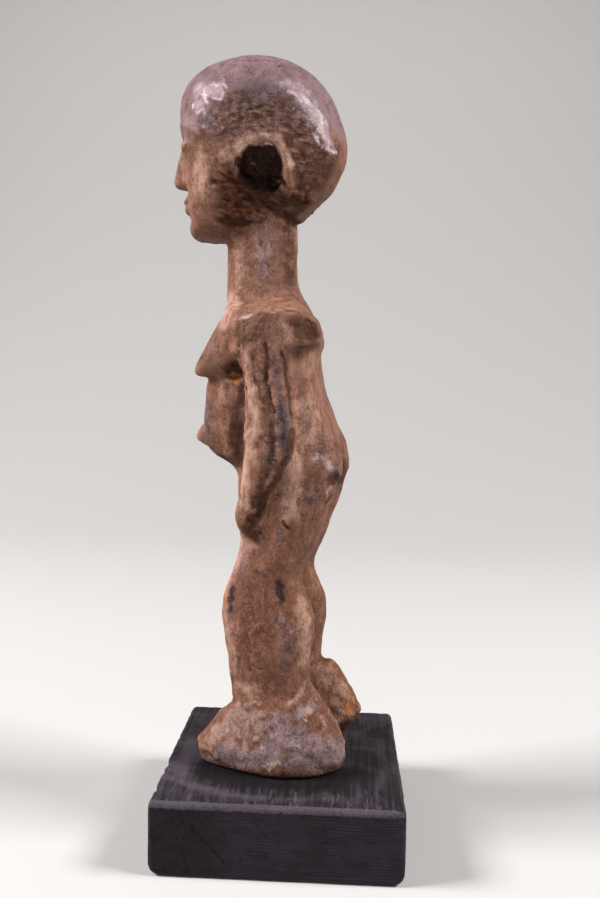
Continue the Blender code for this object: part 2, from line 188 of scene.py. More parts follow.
class Wire:
    """A socket in a material. Arithmetic on it adds the nodes that work it out."""

    def __init__(self, tree, socket=None):
        self.tree = tree
        self.socket = socket

    def node(self, kind, settings=(), inputs=(), out=0):
        """Any node, from its type, its settings and the values or wires of its sockets."""
        made = self.tree.nodes.new(kind)
        for name, value in dict(settings).items():
            setattr(made, name, value)
        for name, value in dict(inputs).items():
            if isinstance(value, Wire):
                self.tree.links.new(value.socket, made.inputs[name])
            else:
                made.inputs[name].default_value = value
        return Wire(self.tree, made.outputs[out])

    def maths(self, operation, *values):
        """A Math node on these values or wires."""
        return self.node("ShaderNodeMath", {"operation": operation}, enumerate(values))

    def __add__(self, other):
        return self.maths("ADD", self, other)

    def __sub__(self, other):
        return self.maths("SUBTRACT", self, other)

    def __rsub__(self, other):
        return self.maths("SUBTRACT", other, self)

    def __mul__(self, other):
        return self.maths("MULTIPLY", self, other)

    def __abs__(self):
        return self.maths("ABSOLUTE", self)

    __radd__ = __add__
    __rmul__ = __mul__


def finish_for(piece, name):
    """A new material on the piece, and the wire its finish starts from: places in millimetres."""
    material = bpy.data.materials.new(name)
    material.use_nodes = True
    piece.data.materials.append(material)
    start = Wire(material.node_tree)
    place = start.node("ShaderNodeTexCoord", out=3)
    place = place.node("ShaderNodeVectorMath", {"operation": "SCALE"}, {0: place, 3: 1 / MM})
    return material.node_tree.nodes["Principled BSDF"], place


def axes_of(place):
    """The three coordinates of the places, each as its own wire."""
    return [place.node("ShaderNodeSeparateXYZ", (), {0: place}, out=axis) for axis in range(3)]


def stretch(place, x, y, z):
    """Places scaled apart, so that a pattern on them is finer along the larger numbers."""
    return place.node("ShaderNodeVectorMath", {"operation": "MULTIPLY"}, {0: place, 1: (x, y, z)})


def slanted(place, angle):
    """Places turned about X by the angle in degrees, so that a pattern on them slants."""
    inputs = {0: place, "Angle": math.radians(angle)}
    return place.node("ShaderNodeVectorRotate", {"rotation_type": "X_AXIS"}, inputs)


def clouds(place, size, detail=3.0, rough=0.55, warp=0.0):
    """Soft noise about 0.5 whose lumps are this size."""
    inputs = {"Vector": place, "Scale": 1 / size, "Detail": detail, "Roughness": rough, "Distortion": warp}
    return place.node("ShaderNodeTexNoise", (), inputs)


def cells(place, size, jitter=1.0, feature="F1"):
    """How far a place is from the middle of the nearest of many scattered cells, or from its edge."""
    inputs = {"Vector": place, "Scale": 1 / size, "Randomness": jitter}
    return place.node("ShaderNodeTexVoronoi", {"feature": feature}, inputs)


def step(value, low, high):
    """0 below low, 1 above high, and a smooth rise between them. Low may be the larger."""
    inputs = {"Value": value, "From Min": low, "From Max": high}
    return value.node("ShaderNodeMapRange", {"interpolation_type": "SMOOTHSTEP"}, inputs)


def over(cover, under, colour):
    """A colour laid over another where the cover is 1."""
    inputs = {0: cover, 6: under, 7: colour}
    return cover.node("ShaderNodeMix", {"data_type": "RGBA"}, inputs, out=2)


def mixed(value, low, high, tones):
    """The first of two tones where the value is below low, and the second where it is above high."""
    return over(step(value, low, high), *tones)


def painted(place, name):
    """What tint stored on the piece."""
    return place.node("ShaderNodeAttribute", {"attribute_name": name}, out=2)


def lay_on(shader, relief_height, **finish):
    """Join a finish to the shader's sockets, with its relief as a bump of this height in millimetres."""
    relief = finish.pop("relief")
    inputs = {"Strength": 1.0, "Distance": relief_height * MM, "Height": relief}
    finish["normal"] = relief.node("ShaderNodeBump", (), inputs)
    for name, wire in finish.items():
        wire.tree.links.new(wire.socket, shader.inputs[name.replace("_", " ").title()])


block = rough_out("base_block", "block")
work(block, "REMESH", mode="VOXEL", voxel_size=BLOCK_MESH)
work(block, "SMOOTH", factor=0.5, iterations=2)

# Worn edges, nicks along them and scratches on the near end
points = places_of(block)
to_top = BLOCK_HIGH[2] - points[:, 2]
to_side = np.minimum(BLOCK_HIGH[0] - abs(points[:, 0]), BLOCK_HIGH[1] - abs(points[:, 1]))
top_edge = np.clip(1 - to_top / EDGE_REACH, 0, 1)
side_edge = np.clip(1 - to_side / EDGE_REACH, 0, 1)
roughen(block, "CLOUDS", (2.2, 2.2, 1.6), 0.5, top_edge * side_edge, depth=2)
roughen(block, "CLOUDS", (9, 9, 9), 0.25, side_edge)
NICKS = (
    (3, 1, (9, -32.8, TOP)),
    (2.4, 0.9, (14, -32.8, TOP)),
    (2.6, 0.9, (24, -32.8, TOP)),
    (1.8, 0.8, (-9, -32.6, TOP)),
    (2.2, 0.8, (-27.5, -32.6, TOP)),
    (2, 0.7, (32.8, 31.6, 18.8)),
    (1.8, 0.7, (-18, 32.6, 19)),
    (2.2, 0.8, (-33, 8, 19.2)),
)
SCRATCHES = (
    (0.55, 1, (END, -21.5, 13.5), (END, -13, 4.6)),
    (0.5, 0.7, (END, -5.8, 8), (END, -9.2, 5)),
    (0.5, 0.8, (END, 11.8, 14), (END, 12.8, 10.4)),
    (0.5, 0.6, (END, -6, 15.8), (END, -1.8, 11)),
)
push(block, brushed(block, NICKS), -NICK_DEPTH)
push(block, brushed(block, SCRATCHES, 0.2), -SCRATCH_DEPTH)
draw_in(block, DRAWN_IN, BLOCK_HIGH[2] * MM)
bpy.ops.object.shade_smooth()

# Dust on the upper face, and a painted shadow of the foot beside it
DUST_LINE = (
    (3.4, 0.8, (18, -31, TOP), (20.5, -27, TOP), (24.5, -20, TOP), (27.5, -12, TOP), (28.6, -4, TOP)),
    (2.6, 0.5, (28.6, -4, TOP), (28.4, 5, TOP), (27, 13, TOP)),
    (5.5, 0.8, (12, -30, TOP), (17, -27, TOP)),
    (4, 0.5, (-4, 26, TOP), (6, 29, TOP), (20, 26, TOP)),
)
SOFT_DUST = ((7, 1, (13, -29, TOP), (6, -26.5, TOP), (-3, -27, TOP)),)
# Painted shadow of the foot: a dark pool on the upper face beside the sole
FOOT_SHADOW = (
    (8.5, 1, (13.5, -19, TOP), (17.5, -9, TOP), (19.5, 2, TOP), (18.5, 11, TOP), (14, 18, TOP)),
)
for name, strokes, sway in (
    ("scratch", SCRATCHES, 0.2),
    ("dust line", DUST_LINE, 0.35),
    ("foot_shadow", FOOT_SHADOW, 0.8),
    ("soft dust", SOFT_DUST, 1.0),
):
    tint(block, name, brushed(block, strokes, sway))

TOP_BLACKS = ((0.0075, 0.0055, 0.0075, 1), (0.021, 0.016, 0.022, 1))
END_BLACKS = ((0.0115, 0.0072, 0.0115, 1), (0.0215, 0.0138, 0.0215, 1))
RUBBED_GREYS = ((0.062, 0.05, 0.064, 1), (0.108, 0.084, 0.106, 1))
GREY = (0.085, 0.068, 0.086, 1)
DUSTY_BLACK = (0.058, 0.046, 0.058, 1)
SAWN_GREY = (0.04, 0.0265, 0.04, 1)
DEEP_STAIN = (0.006, 0.004, 0.0062, 1)
FOOT_SHADOW_BLACK = (0.004, 0.003, 0.004, 1)
PORE_BLACK = (0.002, 0.0012, 0.002, 1)
SAW_PITCH = 0.8
PORE_SLANT = 38

shader, place = finish_for(block, "black_stained_wood")
x, y, z = axes_of(place)
from_x, from_y = abs(x), abs(y)
fine = clouds(place, 0.5, 4)
lumps = clouds(place, 7, 3)
gritty, lumpy = fine - 0.5, lumps - 0.5

# The saw's lines across the ends, and the pores of the end grain
wander = clouds(stretch(place, 1, 0.12, 1), 4, 3) - 0.5
phase = z * (2 * math.pi / SAW_PITCH) + wander * 16 + y * 0.05
saw_bite = step(clouds(stretch(place, 1, 0.35, 1), 2.2, 3), 0.36, 0.6)
saw = (phase.maths("SINE", phase) * 0.5 + 0.5) * saw_bite
pores = step(cells(stretch(slanted(place, PORE_SLANT), 0.2, 0.75, 1.5), 1.5, 0.8), 0.48, 0.24)
rings = step(clouds(stretch(place, 0.3, 1.0, 0.5), 4.5, 2, warp=1.0), 0.45, 0.6)
left_side = step(y, -10, -20)
pores = pores * (0.12 + 0.88 * left_side) * (0.45 + 0.55 * rings)
end_colour = mixed(lumps + gritty * 0.4, 0.35, 0.65, END_BLACKS)
end_colour = over(saw * 0.6, end_colour, SAWN_GREY)
end_colour = over(left_side * 0.62, end_colour, DEEP_STAIN)
end_colour = over(pores * 0.92, end_colour, PORE_BLACK)
end_colour = over(step(painted(place, "scratch"), 0.04, 0.45), end_colour, PORE_BLACK)

# The long grain of the top and sides, with its dust and a painted shadow of the foot
streaks = clouds(stretch(place, 0.07, 1.5, 1.5), 1.5, 4, 0.65)
streaky = streaks - 0.5
ticks = step(clouds(stretch(place, 0.14, 1, 1), 0.9, 2, 0.5), 0.56, 0.68)
dust = step(clouds(place, 8, 4, warp=0.5) + streaky * 0.3, 0.46, 0.66)
dust_line = step(painted(place, "dust line") + gritty * 0.4 + lumpy * 0.4, 0.15, 0.8)
soft_dust = step(painted(place, "soft dust") + gritty * 0.5 + streaky * 0.7, 0.15, 0.95)
foot_shadow = step(painted(place, "foot_shadow") + gritty * 0.3, 0.1, 0.7)
top_colour = mixed(streaks, 0.4, 0.62, TOP_BLACKS)
top_colour = over(dust * (0.15 + 0.5 * streaks), top_colour, DUSTY_BLACK)
top_colour = over(ticks * step(x + lumpy * 14, 17, 26) * 0.6, top_colour, GREY)
top_colour = over(dust_line * (0.3 + 0.5 * streaks), top_colour, GREY)
top_colour = over(soft_dust * 0.45, top_colour, GREY)
# Painted shadow of the foot on the upper face
top_colour = over(foot_shadow * 0.85, top_colour, FOOT_SHADOW_BLACK)
is_end = step(from_x, 32.2, 32.8)
colour = over(is_end, top_colour, end_colour)

# Rubbed edges: the sawn end's upper edge most, then the long ones
uneven = (clouds(place, 1.1, 3) - 0.5) * 2.4 + gritty * 1.4
end_rub = step(z + uneven * 0.5, 17.55, 18.15) * step(from_x + uneven * 0.2, 31.55, 32.0)
long_rub = step(z + uneven * 0.6, 18.0, 19.2) * step(from_y + uneven * 0.4, 31.2, 32.2) * 0.55
corner_rub = step(from_y + uneven * 0.35, 31.7, 32.5) * step(from_x + uneven * 0.35, 32.0, 32.9) * 0.5
rub = end_rub.maths("MAXIMUM", end_rub, long_rub)
rub = rub.maths("MAXIMUM", rub, corner_rub)
rubbed_colour = mixed(fine + lumpy * 0.4, 0.3, 0.74, RUBBED_GREYS)
lay_on(
    shader, 0.16,
    base_color=over(rub * (0.7 + 0.3 * fine), colour, rubbed_colour),
    roughness=0.72 + lumpy * 0.2 - rub * 0.1 + gritty * 0.15,
    relief=saw * is_end * 0.3 - pores * is_end * 0.8 + streaks * (1 - is_end) * 0.7 + fine * 0.45,
)
shader.inputs["Specular IOR Level"].default_value = 0.2

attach(block, "root")
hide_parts("base_block")


# The figure: a woman carved from one log of brown wood with a knife, arms close to her sides, and
# rubbed smooth by handling. It stands by its own weight on the block. Places on it are given as its
# carver would: millimetres to its left, backwards, and up from its soles.

FIGURE_MESH = 0.605 * MM
SOLE = 19.6
STANCE = (-4.0, -6.0)
TURN = -8.0
TWIST = ((75, 0.0), (115, 5.5), (140, 5.0), (200, 4.0))  # heights, and the turn in degrees at each
FLAT_BELOW = 0.25 * MM  # what lies lower than this over the soles is flattened
DRAWN_DOWN = (1, 1, 0.9997)  # which keeps the crown within the true height

figure = rough_out("figure", "carved_figure")
work(figure, "REMESH", mode="VOXEL", voxel_size=FIGURE_MESH)
work(figure, "SMOOTH", factor=0.5, iterations=2)


def on_figure(x, y, z, side=1):
    """A place on the figure in the block's own millimetres. Side -1 is the figure's right."""
    heights, turns = zip(*TWIST)
    turn = math.radians(TURN + float(np.interp(z, heights, turns)))
    return Vector((
        STANCE[0] + side * x * math.cos(turn) - y * math.sin(turn),
        STANCE[1] + side * x * math.sin(turn) + y * math.cos(turn),
        SOLE + z,
    ))


def on_left(strokes, side=1):
    """The strokes laid on the figure's skin, in steps of about 2 mm."""
    laid = []
    for radius, strength, *line in strokes:
        line = [on_figure(*place, side) for place in line]
        path = line[:1]
        for start, end in zip(line, line[1:]):
            steps = max(1, round((end - start).length / 2))
            path += [start.lerp(end, (n + 1) / steps) for n in range(steps)]
        laid.append((radius, strength, *(figure.closest_point_on_mesh(p * MM)[1] / MM for p in path)))
    return laid


def on_right(strokes):
    """The same for the figure's right side."""
    return on_left(strokes, -1)


def on_both(strokes):
    """The strokes on the left side and their mirror image on the right."""
    return on_left(strokes) + on_right(strokes)


def spots(radius, strength, *places):
    """Single touches of the brush, all alike."""
    return tuple((radius, strength, place) for place in places)


def broader(strokes, width, power=1):
    """The same strokes with a broader brush, and a stronger one."""
    return tuple((radius * width, strength * power, *line) for radius, strength, *line in strokes)


def normals_of(piece):
    """Which way the skin faces at every point of the piece, one row each."""
    flat = np.empty(3 * len(piece.data.vertices))
    piece.data.vertex_normals.foreach_get("vector", flat)
    return flat.reshape(-1, 3)


def standing_out(piece, rounds):
    """How far each point stands out of its smoothed surroundings in millimetres, below 0 in a hollow."""
    points = places_of(piece)
    ends = np.empty(2 * len(piece.data.edges), dtype=np.int64)
    piece.data.edges.foreach_get("vertices", ends)
    first, second = ends.reshape(-1, 2).T
    count = np.bincount(ends, minlength=len(points))[:, None]
    smooth = points
    for _ in range(rounds):
        total = [
            np.bincount(first, smooth[second, axis], len(points))
            + np.bincount(second, smooth[first, axis], len(points))
            for axis in range(3)
        ]
        smooth = 0.5 * smooth + 0.5 * np.array(total).T / count
    return np.einsum("ij,ij->i", points - smooth, normals_of(piece))


# Creases that the knife left down the arms, round the skull and in the ears, pits and cracks, the
# lines of the eyelids and lips, and the edges of the feet
FRONT_FOLD = (
    (20.8, 1.2, 114.5), (20.6, 1.6, 110.5), (20.5, 1.6, 107.4), (20.2, 1.9, 104.3), (20, 2.7, 101.8),
    (20, 4.3, 97.2),
)
MIDDLE_FOLD = (
    (20.5, -2.6, 111.1), (20.3, -1.5, 106.1), (20.2, -0.6, 103.6), (20.2, 0.3, 100.8), (20.2, 1.7, 98.7),
)
REAR_FOLD = (
    (20.5, 5.2, 112.8), (20.3, 5.9, 110.6), (20, 6.7, 107.5), (19.8, 7.3, 103.8), (19.5, 8.2, 99.7),
    (19.4, 8.7, 96.3),
)
ARM_EDGE = (
    (19.4, 9.1, 87.3), (19.7, 7.7, 84.4), (19.4, 6.6, 80.9), (19.2, 4.8, 77.6), (18.9, 3, 74),
    (18.4, 1.3, 70.6),
)
NAPE = ((11.9, -3.7, 153.3), (11.8, -0.6, 152.7), (10.2, 1.8, 150.9), (8.5, 3.8, 150.2))
FOLDS = (
    (1.1, 0.7, *FRONT_FOLD),
    (1, 0.5, *MIDDLE_FOLD, (20.1, 2.4, 96.5)),
    (1.4, 0.9, *REAR_FOLD, (19.2, 9.3, 92.5)),
)
BROAD_CUTS = (
    (1.7, 0.9, *ARM_EDGE, (17.4, -0.4, 65.6)),
    (2.6, 0.9, (11.5, -9.2, 86.5), (12, -7.6, 92), (12.4, -7, 98)),
    (1.6, 0.8, (13, -6.4, 104), (12.6, -6.4, 98)),
    (1.3, 0.6, (12.6, -7.6, 17.6), (17.6, -4.8, 18.6), (18.9, -1, 17.4), (19.6, 3, 17.8),
     (18.9, 7.5, 18.6), (17.2, 11.5, 22)),
)
SKULL_CREASE = (
    (1.5, 0.8, (13.6, -8.4, 155), (12.3, -6.2, 154.3), (11.9, -3.7, 153.3)),
    (1.9, 1, *NAPE, (4, 6, 149.6), (0, 6.8, 149.4)),
)
EAR_SHOULDER = (
    (2.6, 1, (16.4, -11.4, 164.6), (17.6, -9.2, 167.2), (18.8, -5, 169.2), (18.9, -0.6, 169.6),
     (18.4, 4.2, 168), (17.4, 7.4, 164), (16.2, 8.6, 160)),
)
EAR_INSIDE = (
    (3.8, 1, (15.5, -3.2, 164), (13.8, -0.7, 162.7), (13.1, -1.8, 160.8)),
    (2.2, 1, (15.6, -6.2, 161.4), (14.4, -5, 160.4)),
)
EAR_FOOT = (
    (2.4, 1, (16.2, -9.4, 160.6), (15.2, -8.6, 158.6)),
    (2, 0.8, (14.6, 5.6, 156.4), (13.4, 6, 154.4)),
)
PITS = (
    *spots(0.7, 0.7, (20.1, -6.1, 114.6), (20.1, -5.9, 112.9), (20.7, -3.3, 115.4), (18.9, -3.5, 101),
           (20.1, -0.5, 99.3), (19.9, -3.2, 93.2)),
    *spots(0.7, 0.6, (19.6, -3.4, 89.5), (19.8, -2, 86), (18.5, -3.1, 71.1), (18.3, -1.3, 68.6),
           (17.9, 0.6, 55.5), (17.6, 9.6, 30)),
    *spots(1, 1, (18.2, -4.1, 103.6), (17.8, -3.8, 98), (17.6, -2.6, 66.4), (16.6, -0.6, 64)),
    *spots(0.9, 1, (18.2, -0.8, 67.8), (17, -3.4, 64.4), (17.4, 1.2, 65.4), (18.4, 0.6, 69.6),
           (17.8, -1.4, 64.8)),
    *spots(0.7, 0.8, (19, 0.8, 168.8), (18.6, -4.3, 176.7), (12.3, 2.2, 188), (10.4, -0.7, 190.3),
           (18.3, -0.3, 28.1), (18.5, 2.4, 28.4)),
)
CRACKS = (
    (0.55, 0.9, (17.1, 7.8, 68.4), (17, 8.4, 67.4), (16.9, 9.2, 66.4)),
    (0.6, 0.6, (18.8, -4.5, 174.9), (18.7, -2, 175.5), (18.5, 0, 175.9), (18.3, 1.5, 175.4)),
    (0.6, 0.5, (11.9, 2.5, 188.1), (10.6, 3, 189)),
    (0.8, 0.6, (12.4, 18.2, 72.8), (10.6, 19.4, 74.2), (7.5, 20.4, 74.8)),
    (0.6, 0.8, (8.1, -7.1, 148.6), (8.7, -4.5, 148), (9.2, -2.5, 148.3)),
    (0.5, 0.5, (19.5, 3.6, 124.3), (20.3, 5.9, 123.8), (20.1, 8, 123.5), (19.9, 9.6, 123.1)),
    (0.5, 0.5, (19, -3, 77), (18.8, -2.8, 73.1)),
)
FACE_LINES = (
    (0.75, 0.8, (2.6, -24.4, 167.9), (4.6, -25.2, 167.2), (6.8, -25, 167), (9, -24, 167.4),
     (10.8, -22.6, 168.2)),
    (0.8, 0.9, (0, -25.8, 154.2), (2.4, -25.4, 154.3), (4.6, -24.2, 154.5)),
)
TOE_EDGE = (
    (1.6, 1, (4.4, -17.2, 4.6), (10.6, -17.3, 4.6), (14.6, -14.9, 4.6), (17.1, -12, 4.2), (18, -9.6, 3.2)),
)
LOWER_EDGE = (
    (1.8, 1, (18.4, -6, 1.2), (19.4, -1, 1.2), (20.6, 4, 1.2), (20.6, 9, 1.2), (19.4, 14, 1.2),
     (17.4, 18.4, 1.4)),
)
for strokes, sides, sway, gain, raised in (
    (EAR_SHOULDER, on_both, 0.5, 1, 0.45),
    (EAR_INSIDE, on_both, 0.5, 2.2, -0.8),
    (EAR_FOOT, on_both, 0.5, 1, -0.8),
    (FOLDS, on_both, 0.2, 1, -0.42),
    (BROAD_CUTS, on_both, 0.5, 1, -0.55),
    (SKULL_CREASE, on_both, 0.5, 1, -1.1),
    (PITS, on_left, 0.4, 1, -0.6),
    (CRACKS, on_left, 0.3, 1, -0.4),
    (FACE_LINES, on_both, 0.15, 1, -0.5),
    (TOE_EDGE, on_both, 0.25, 1, 0.4),
    (LOWER_EDGE, on_both, 0.25, 1, 0.35),
):
    push(figure, np.clip(brushed(figure, sides(strokes), sway) * gain, 0, 1), raised)

# Where the knife left short slanting cuts under the ears, and where it left the wood rough
UNDER_EAR = (
    (6.5, 1, (13.4, -11, 157.4), (12.9, -6, 156.4), (12.3, 0, 155.4), (11.5, 3, 154.8)),
    (6, 1, (11.4, -11, 153), (10.8, -7.6, 152.6), (10.4, -2, 151.6)),
    (4.4, 0.8, (10.4, -11.8, 149.4), (9.2, -8, 148)),
    (4, 0.8, (12.4, 4, 156), (10, 8.4, 154.6), (6, 10.8, 153.6)),
)
ROUGH_CUT = (
    (4, 1, (18.2, -1.4, 69), (17.2, -1.5, 64)),
    (3, 1, (17.6, -2.4, 66), (17, 0.2, 63.4)),
    (4.5, 0.8, (18, -4, 112), (17, -4.5, 100), (16, -6, 92)),
    (6, 0.6, (20.4, 1, 112), (20, 3.5, 98), (19.5, 4.5, 85)),
    (3, 0.9, (11.3, -10.4, 104.2), (11.7, -8.6, 103.6)),
)
SKULL_SIDE = (
    (8, 1, (16.5, -12, 172), (18.6, -6, 173), (18.8, 2, 173), (17.4, 8, 169), (15.4, 11, 163)),
)
skull_side = brushed(figure, on_both(SKULL_SIDE), 0.6)
under_ear = brushed(figure, on_both(UNDER_EAR), 0.9)
rough_cut = np.clip(brushed(figure, on_both(ROUGH_CUT)) * 2, 0, 1)
slashed = np.clip(under_ear * 1.6, 0, 1)
height = places_of(figure)[:, 2] - SOLE
free = np.clip((height - 0.6) / 1.6, 0, 1)
limbs = np.clip((112 - height) / 20, 0.35, 1) * free
skull = np.clip((height - 160) / 10, 0, 1)
feet = np.clip((20 - height) / 6, 0, 1) * free
roughen(figure, "VORONOI", (7, 7, 15), 0.6, limbs * 0.85 + 0.15 * free)
roughen(figure, "CLOUDS", (3.4, 3.4, 5.0), 0.45, free * (1 - 0.6 * skull))
roughen(figure, "CLOUDS", (2.6, 2.6, 1.4), 1.0, skull_side, depth=2)
roughen(figure, "CLOUDS", (2.8, 3.8, 1.5), 1.9, slashed, tilt=-20)
roughen(figure, "CLOUDS", (1.7, 2.2, 1.1), 0.9, slashed, tilt=12)
roughen(figure, "CLOUDS", (1.7, 1.7, 2.0), 0.9, (rough_cut + 0.15 * limbs) * free)
roughen(figure, "CLOUDS", (2.4, 2.4, 2.4), 0.6, feet)

# Crumbs of crust on the left foot
CRUST = (
    *spots(0.9, 1, (16.2, 15.6, 16.7), (20.6, 2.9, 9.1), (18.5, -5.8, 10.9), (21.2, 6.4, 3.4)),
    *spots(0.6, 0.8, (17.8, 14.9, 14.6), (20.4, 1.2, 7.8), (20.8, 3.6, 8), (21.2, 8.1, 3.9),
           (21.2, 4.6, 3.2), (21, 9.8, 3.4)),
    *spots(0.5, 0.8, (12.7, 17.1, 19.4), (19.5, 13.6, 8.3), (18.5, 17.4, 7.7), (19.4, -2.7, 9.4),
           (17.1, 19.6, 2.4), (21.1, 5.6, 4.4)),
)
push(figure, brushed(figure, on_left(CRUST), 0.7), 0.4)

# Back onto its flat soles
taken_up(figure)
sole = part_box("figure")[0].z
for polygon in figure.data.polygons:
    polygon.select = False
for vertex in figure.data.vertices:
    vertex.select = vertex.co.z < sole + FLAT_BELOW
bpy.ops.object.mode_set(mode="EDIT")
bpy.ops.transform.resize(value=(1, 1, 0), center_override=(0, 0, sole))
bpy.ops.object.mode_set(mode="OBJECT")
draw_in(figure, DRAWN_DOWN, sole)
bpy.ops.object.shade_smooth()

# What wear, handling and damp left on the wood: rubbed tan, painted light on the far foot and leg,
# pale and grey dust on the feet, dark patina and inky patches, white tide lines and their haze
TAN = (
    (2.2, 1, (15.3, -12.3, 163.6), (16.2, -9.9, 164.8), (17.3, -8, 166)),
    (2.1, 1.5, (17.3, -8, 166), (18.5, -5.7, 167.4), (19.1, -3.1, 168), (19.1, -0.1, 167.8),
     (18.4, 3, 166.6), (17.8, 4.9, 163.6), (17, 5.9, 161)),
    (6, 0.6, (13.5, -18.5, 163), (13, -18.5, 157)),
    (2.3, 1, (20.2, -4.6, 112.3), (20, -3.6, 108.6), (19.7, -2.9, 104.2), (19.9, -1.8, 101.7),
     (20, -1.2, 98.6), (20.1, -0.6, 94.9)),
    (3, 1, (19.9, -0.8, 92), (19.8, -1.9, 84.4), (18.9, -3.3, 80), (18.6, -2.9, 73)),
    (6, 0.4, (16.6, 11.1, 110), (16.1, 12.9, 100.5), (15.3, 14.6, 93.6)),
    (4, 0.8, (18.4, 10.4, 86), (17.6, 10, 78), (16.8, 9.4, 70)),
    (5, 0.9, (17.6, 12, 99), (17, 13.6, 92)),
    (6, 0.9, (7, -13, 127), (14, -11, 122.5)),
    (4, 0.65, (14.7, 13, 46), (14.8, 14.1, 39.5), (14.4, 14.2, 31)),
    (1.8, 0.7, (16.4, 10.6, 18.9), (15.6, 12.5, 21.6), (13.5, 13.7, 24.2)),
    (5.5, 0.9, (15, -4, 62), (13.4, -6, 56)),
    (3.6, 0.6, (16.8, -3.4, 23), (17.8, 1, 22)),
    (3, 0.4, (10.4, -12, 103), (9.6, -14, 99)),
    (4, 0.45, (8, -8.5, 131), (7.4, -9.5, 143)),
    (5.5, 0.5, (14.6, -9.4, 52), (15, -9.2, 46), (15.6, -7.6, 38), (15.8, -6.4, 28)),
    (2.4, 0.7, (20.5, 5.6, 120.5), (20.5, 7.2, 118.7), (20.6, 5.9, 115.8)),
    (1.8, 0.7, (14.3, 18.9, 14.5), (15.1, 19.8, 11.7)),
    (1.6, 0.8, (11.6, 19.5, 77.1), (12.4, 18.6, 75.4)),
)
# Tan on the far foot and leg, partly painted light where they lie in shade
FAR_TAN_AND_LIGHT = ((6, 0.55, (7, 20, 16), (7, 22, 8)), (5, 0.5, (6.5, 13, 24), (7, 18, 17)))
PALE_FOOT = (
    (3.4, 1, (18.1, -3.5, 16.4), (18.3, -6.3, 11.9), (16.7, -11.4, 7.9)),
    (2.6, 1, (18.6, -7.1, 7.2), (20, -1.1, 7.2)),
    (2.8, 0.9, (19.2, -0.7, 13.8), (19.6, 2.5, 15.5), (20.3, 2.4, 11)),
    (3, 0.9, (19, -4, 11), (19.8, -1, 9.4)),
    (2.8, 0.4, (18.6, 12.4, 13.6), (17.2, 16.6, 10.4)),
    (1.1, 1, (17.8, -4, 18), (18.4, -1, 18.6), (18.9, 3.4, 19)),
)
GREY_FOOT = (
    (4.4, 1, (19.4, 7.6, 14.4), (19.2, 13.5, 9.9), (16.4, 19, 7.5), (12.7, 23.4, 5.7)),
    (3.4, 1, (20.6, 7.5, 9.9), (21.1, 3.5, 5.1), (19.8, -2, 4), (18.6, -8, 4.2)),
    (3, 1, (21, 6, 6), (21, 9, 5), (20, 13, 5.4)),
    (2.8, 0.9, (20.6, 10.4, 5), (17.9, 18.6, 4.4)),
    (2.4, 0.8, (18.1, 13.2, 16.5), (15.2, 16, 18)),
)
PATINA = (
    (1.6, 0.5, (20.8, 2.9, 115.8), (20.7, 3.3, 113.1)),
    (2.2, 0.62, (20.6, 3.4, 110.6), (20.4, 4.3, 106.9), (20.3, 4.9, 103.1)),
    (2.3, 1, (20.1, 6, 100.3), (20, 6.9, 95.6), (20.1, 7.1, 92.4), (20.1, 7.2, 88.6)),
    (1.6, 0.8, (20.2, 5.2, 98.1), (20.2, 4.8, 93.4), (19.8, 4.3, 91)),
    (1.7, 0.8, (19.7, 3.7, 87.2), (19.6, 3.5, 84.6)),
    (1.1, 0.9, (20.8, 1.6, 117.7)),
    (0.9, 0.8, (20.6, 2.3, 121.1)),
    (1.3, 0.6, (14.2, 15.8, 91), (14, 17.3, 88.5), (14.7, 17, 87.2), (15.8, 14.9, 86.9)),
    (1.8, 1, (11.4, 20.7, 83), (12, 20.2, 80.7), (13.2, 18.9, 79.4)),
    (3, 0.5, (15, 13.5, 73), (14, 16, 76)),
    (1.5, 0.7, (16.6, 12, 37.6), (17.2, 11, 35.6)),
    (1.4, 0.8, (17.2, 7.1, 65.8), (17.4, 6.8, 62.6)),
    (1.2, 0.6, (15.5, 14.5, 67)),
    (4.6, 0.3, (8.6, -2.2, 149), (8.4, -1.6, 138), (8.6, -1, 130)),
    (4.6, 0.36, (17.7, 7, 43), (17.3, 9.6, 37), (17.4, 8, 30)),
    (6, 0.42, (5, -17, 92), (6, -17.5, 100)),
    (6, 0.36, (8, -15, 118), (12, -12.6, 114)),
    (3, 0.5, (17.2, -3.6, 60), (16.8, -4.6, 55)),
    (8, 0.5, (18.5, -4, 180), (17.6, 1, 181)),
    (4, 0.5, (14.6, -17, 173.6), (16.5, -14, 172.6)),
    (3.2, 0.6, (5.4, 12.4, 120), (12, 12.8, 119)),
)
INKY = (
    (1.9, 1, (16.1, -6.5, 48.6), (16.5, -6.3, 43.6)),
    (1, 0.7, (17.2, -5.9, 41.9), (17.4, -5.6, 40.6)),
    (1.7, 1, (17.1, 7.2, 52), (17.5, 7.4, 47.1)),
    (1.2, 0.6, (17.7, 0.7, 55.1), (17.9, 2.9, 53.7)),
    (1.1, 0.9, (17.5, -4, 30.4), (17.5, -3.7, 27.6)),
    (1.4, 0.9, (16.8, -6, 47.6), (17, -5.8, 44.6)),
    *spots(0.8, 0.8, (-4.3, 9.3, 49.4), (18.3, -0.3, 28.1), (18.5, 2.4, 28.4), (17.6, 9.6, 30),
           (17, 3.8, 58)),
    (1.3, 0.8, (11.6, 20.4, 81.2), (11, 20.6, 78)),
    (2, 0.8, (10.4, 20.8, 79.6), (8, 21.6, 78.4)),
    (1.9, 0.5, (20.1, 6.4, 98), (20.1, 7.1, 93), (20.1, 7.2, 89.5)),
    (1.5, 0.36, (19.7, 3.9, 87.2), (19.6, 3.7, 84.6)),
)
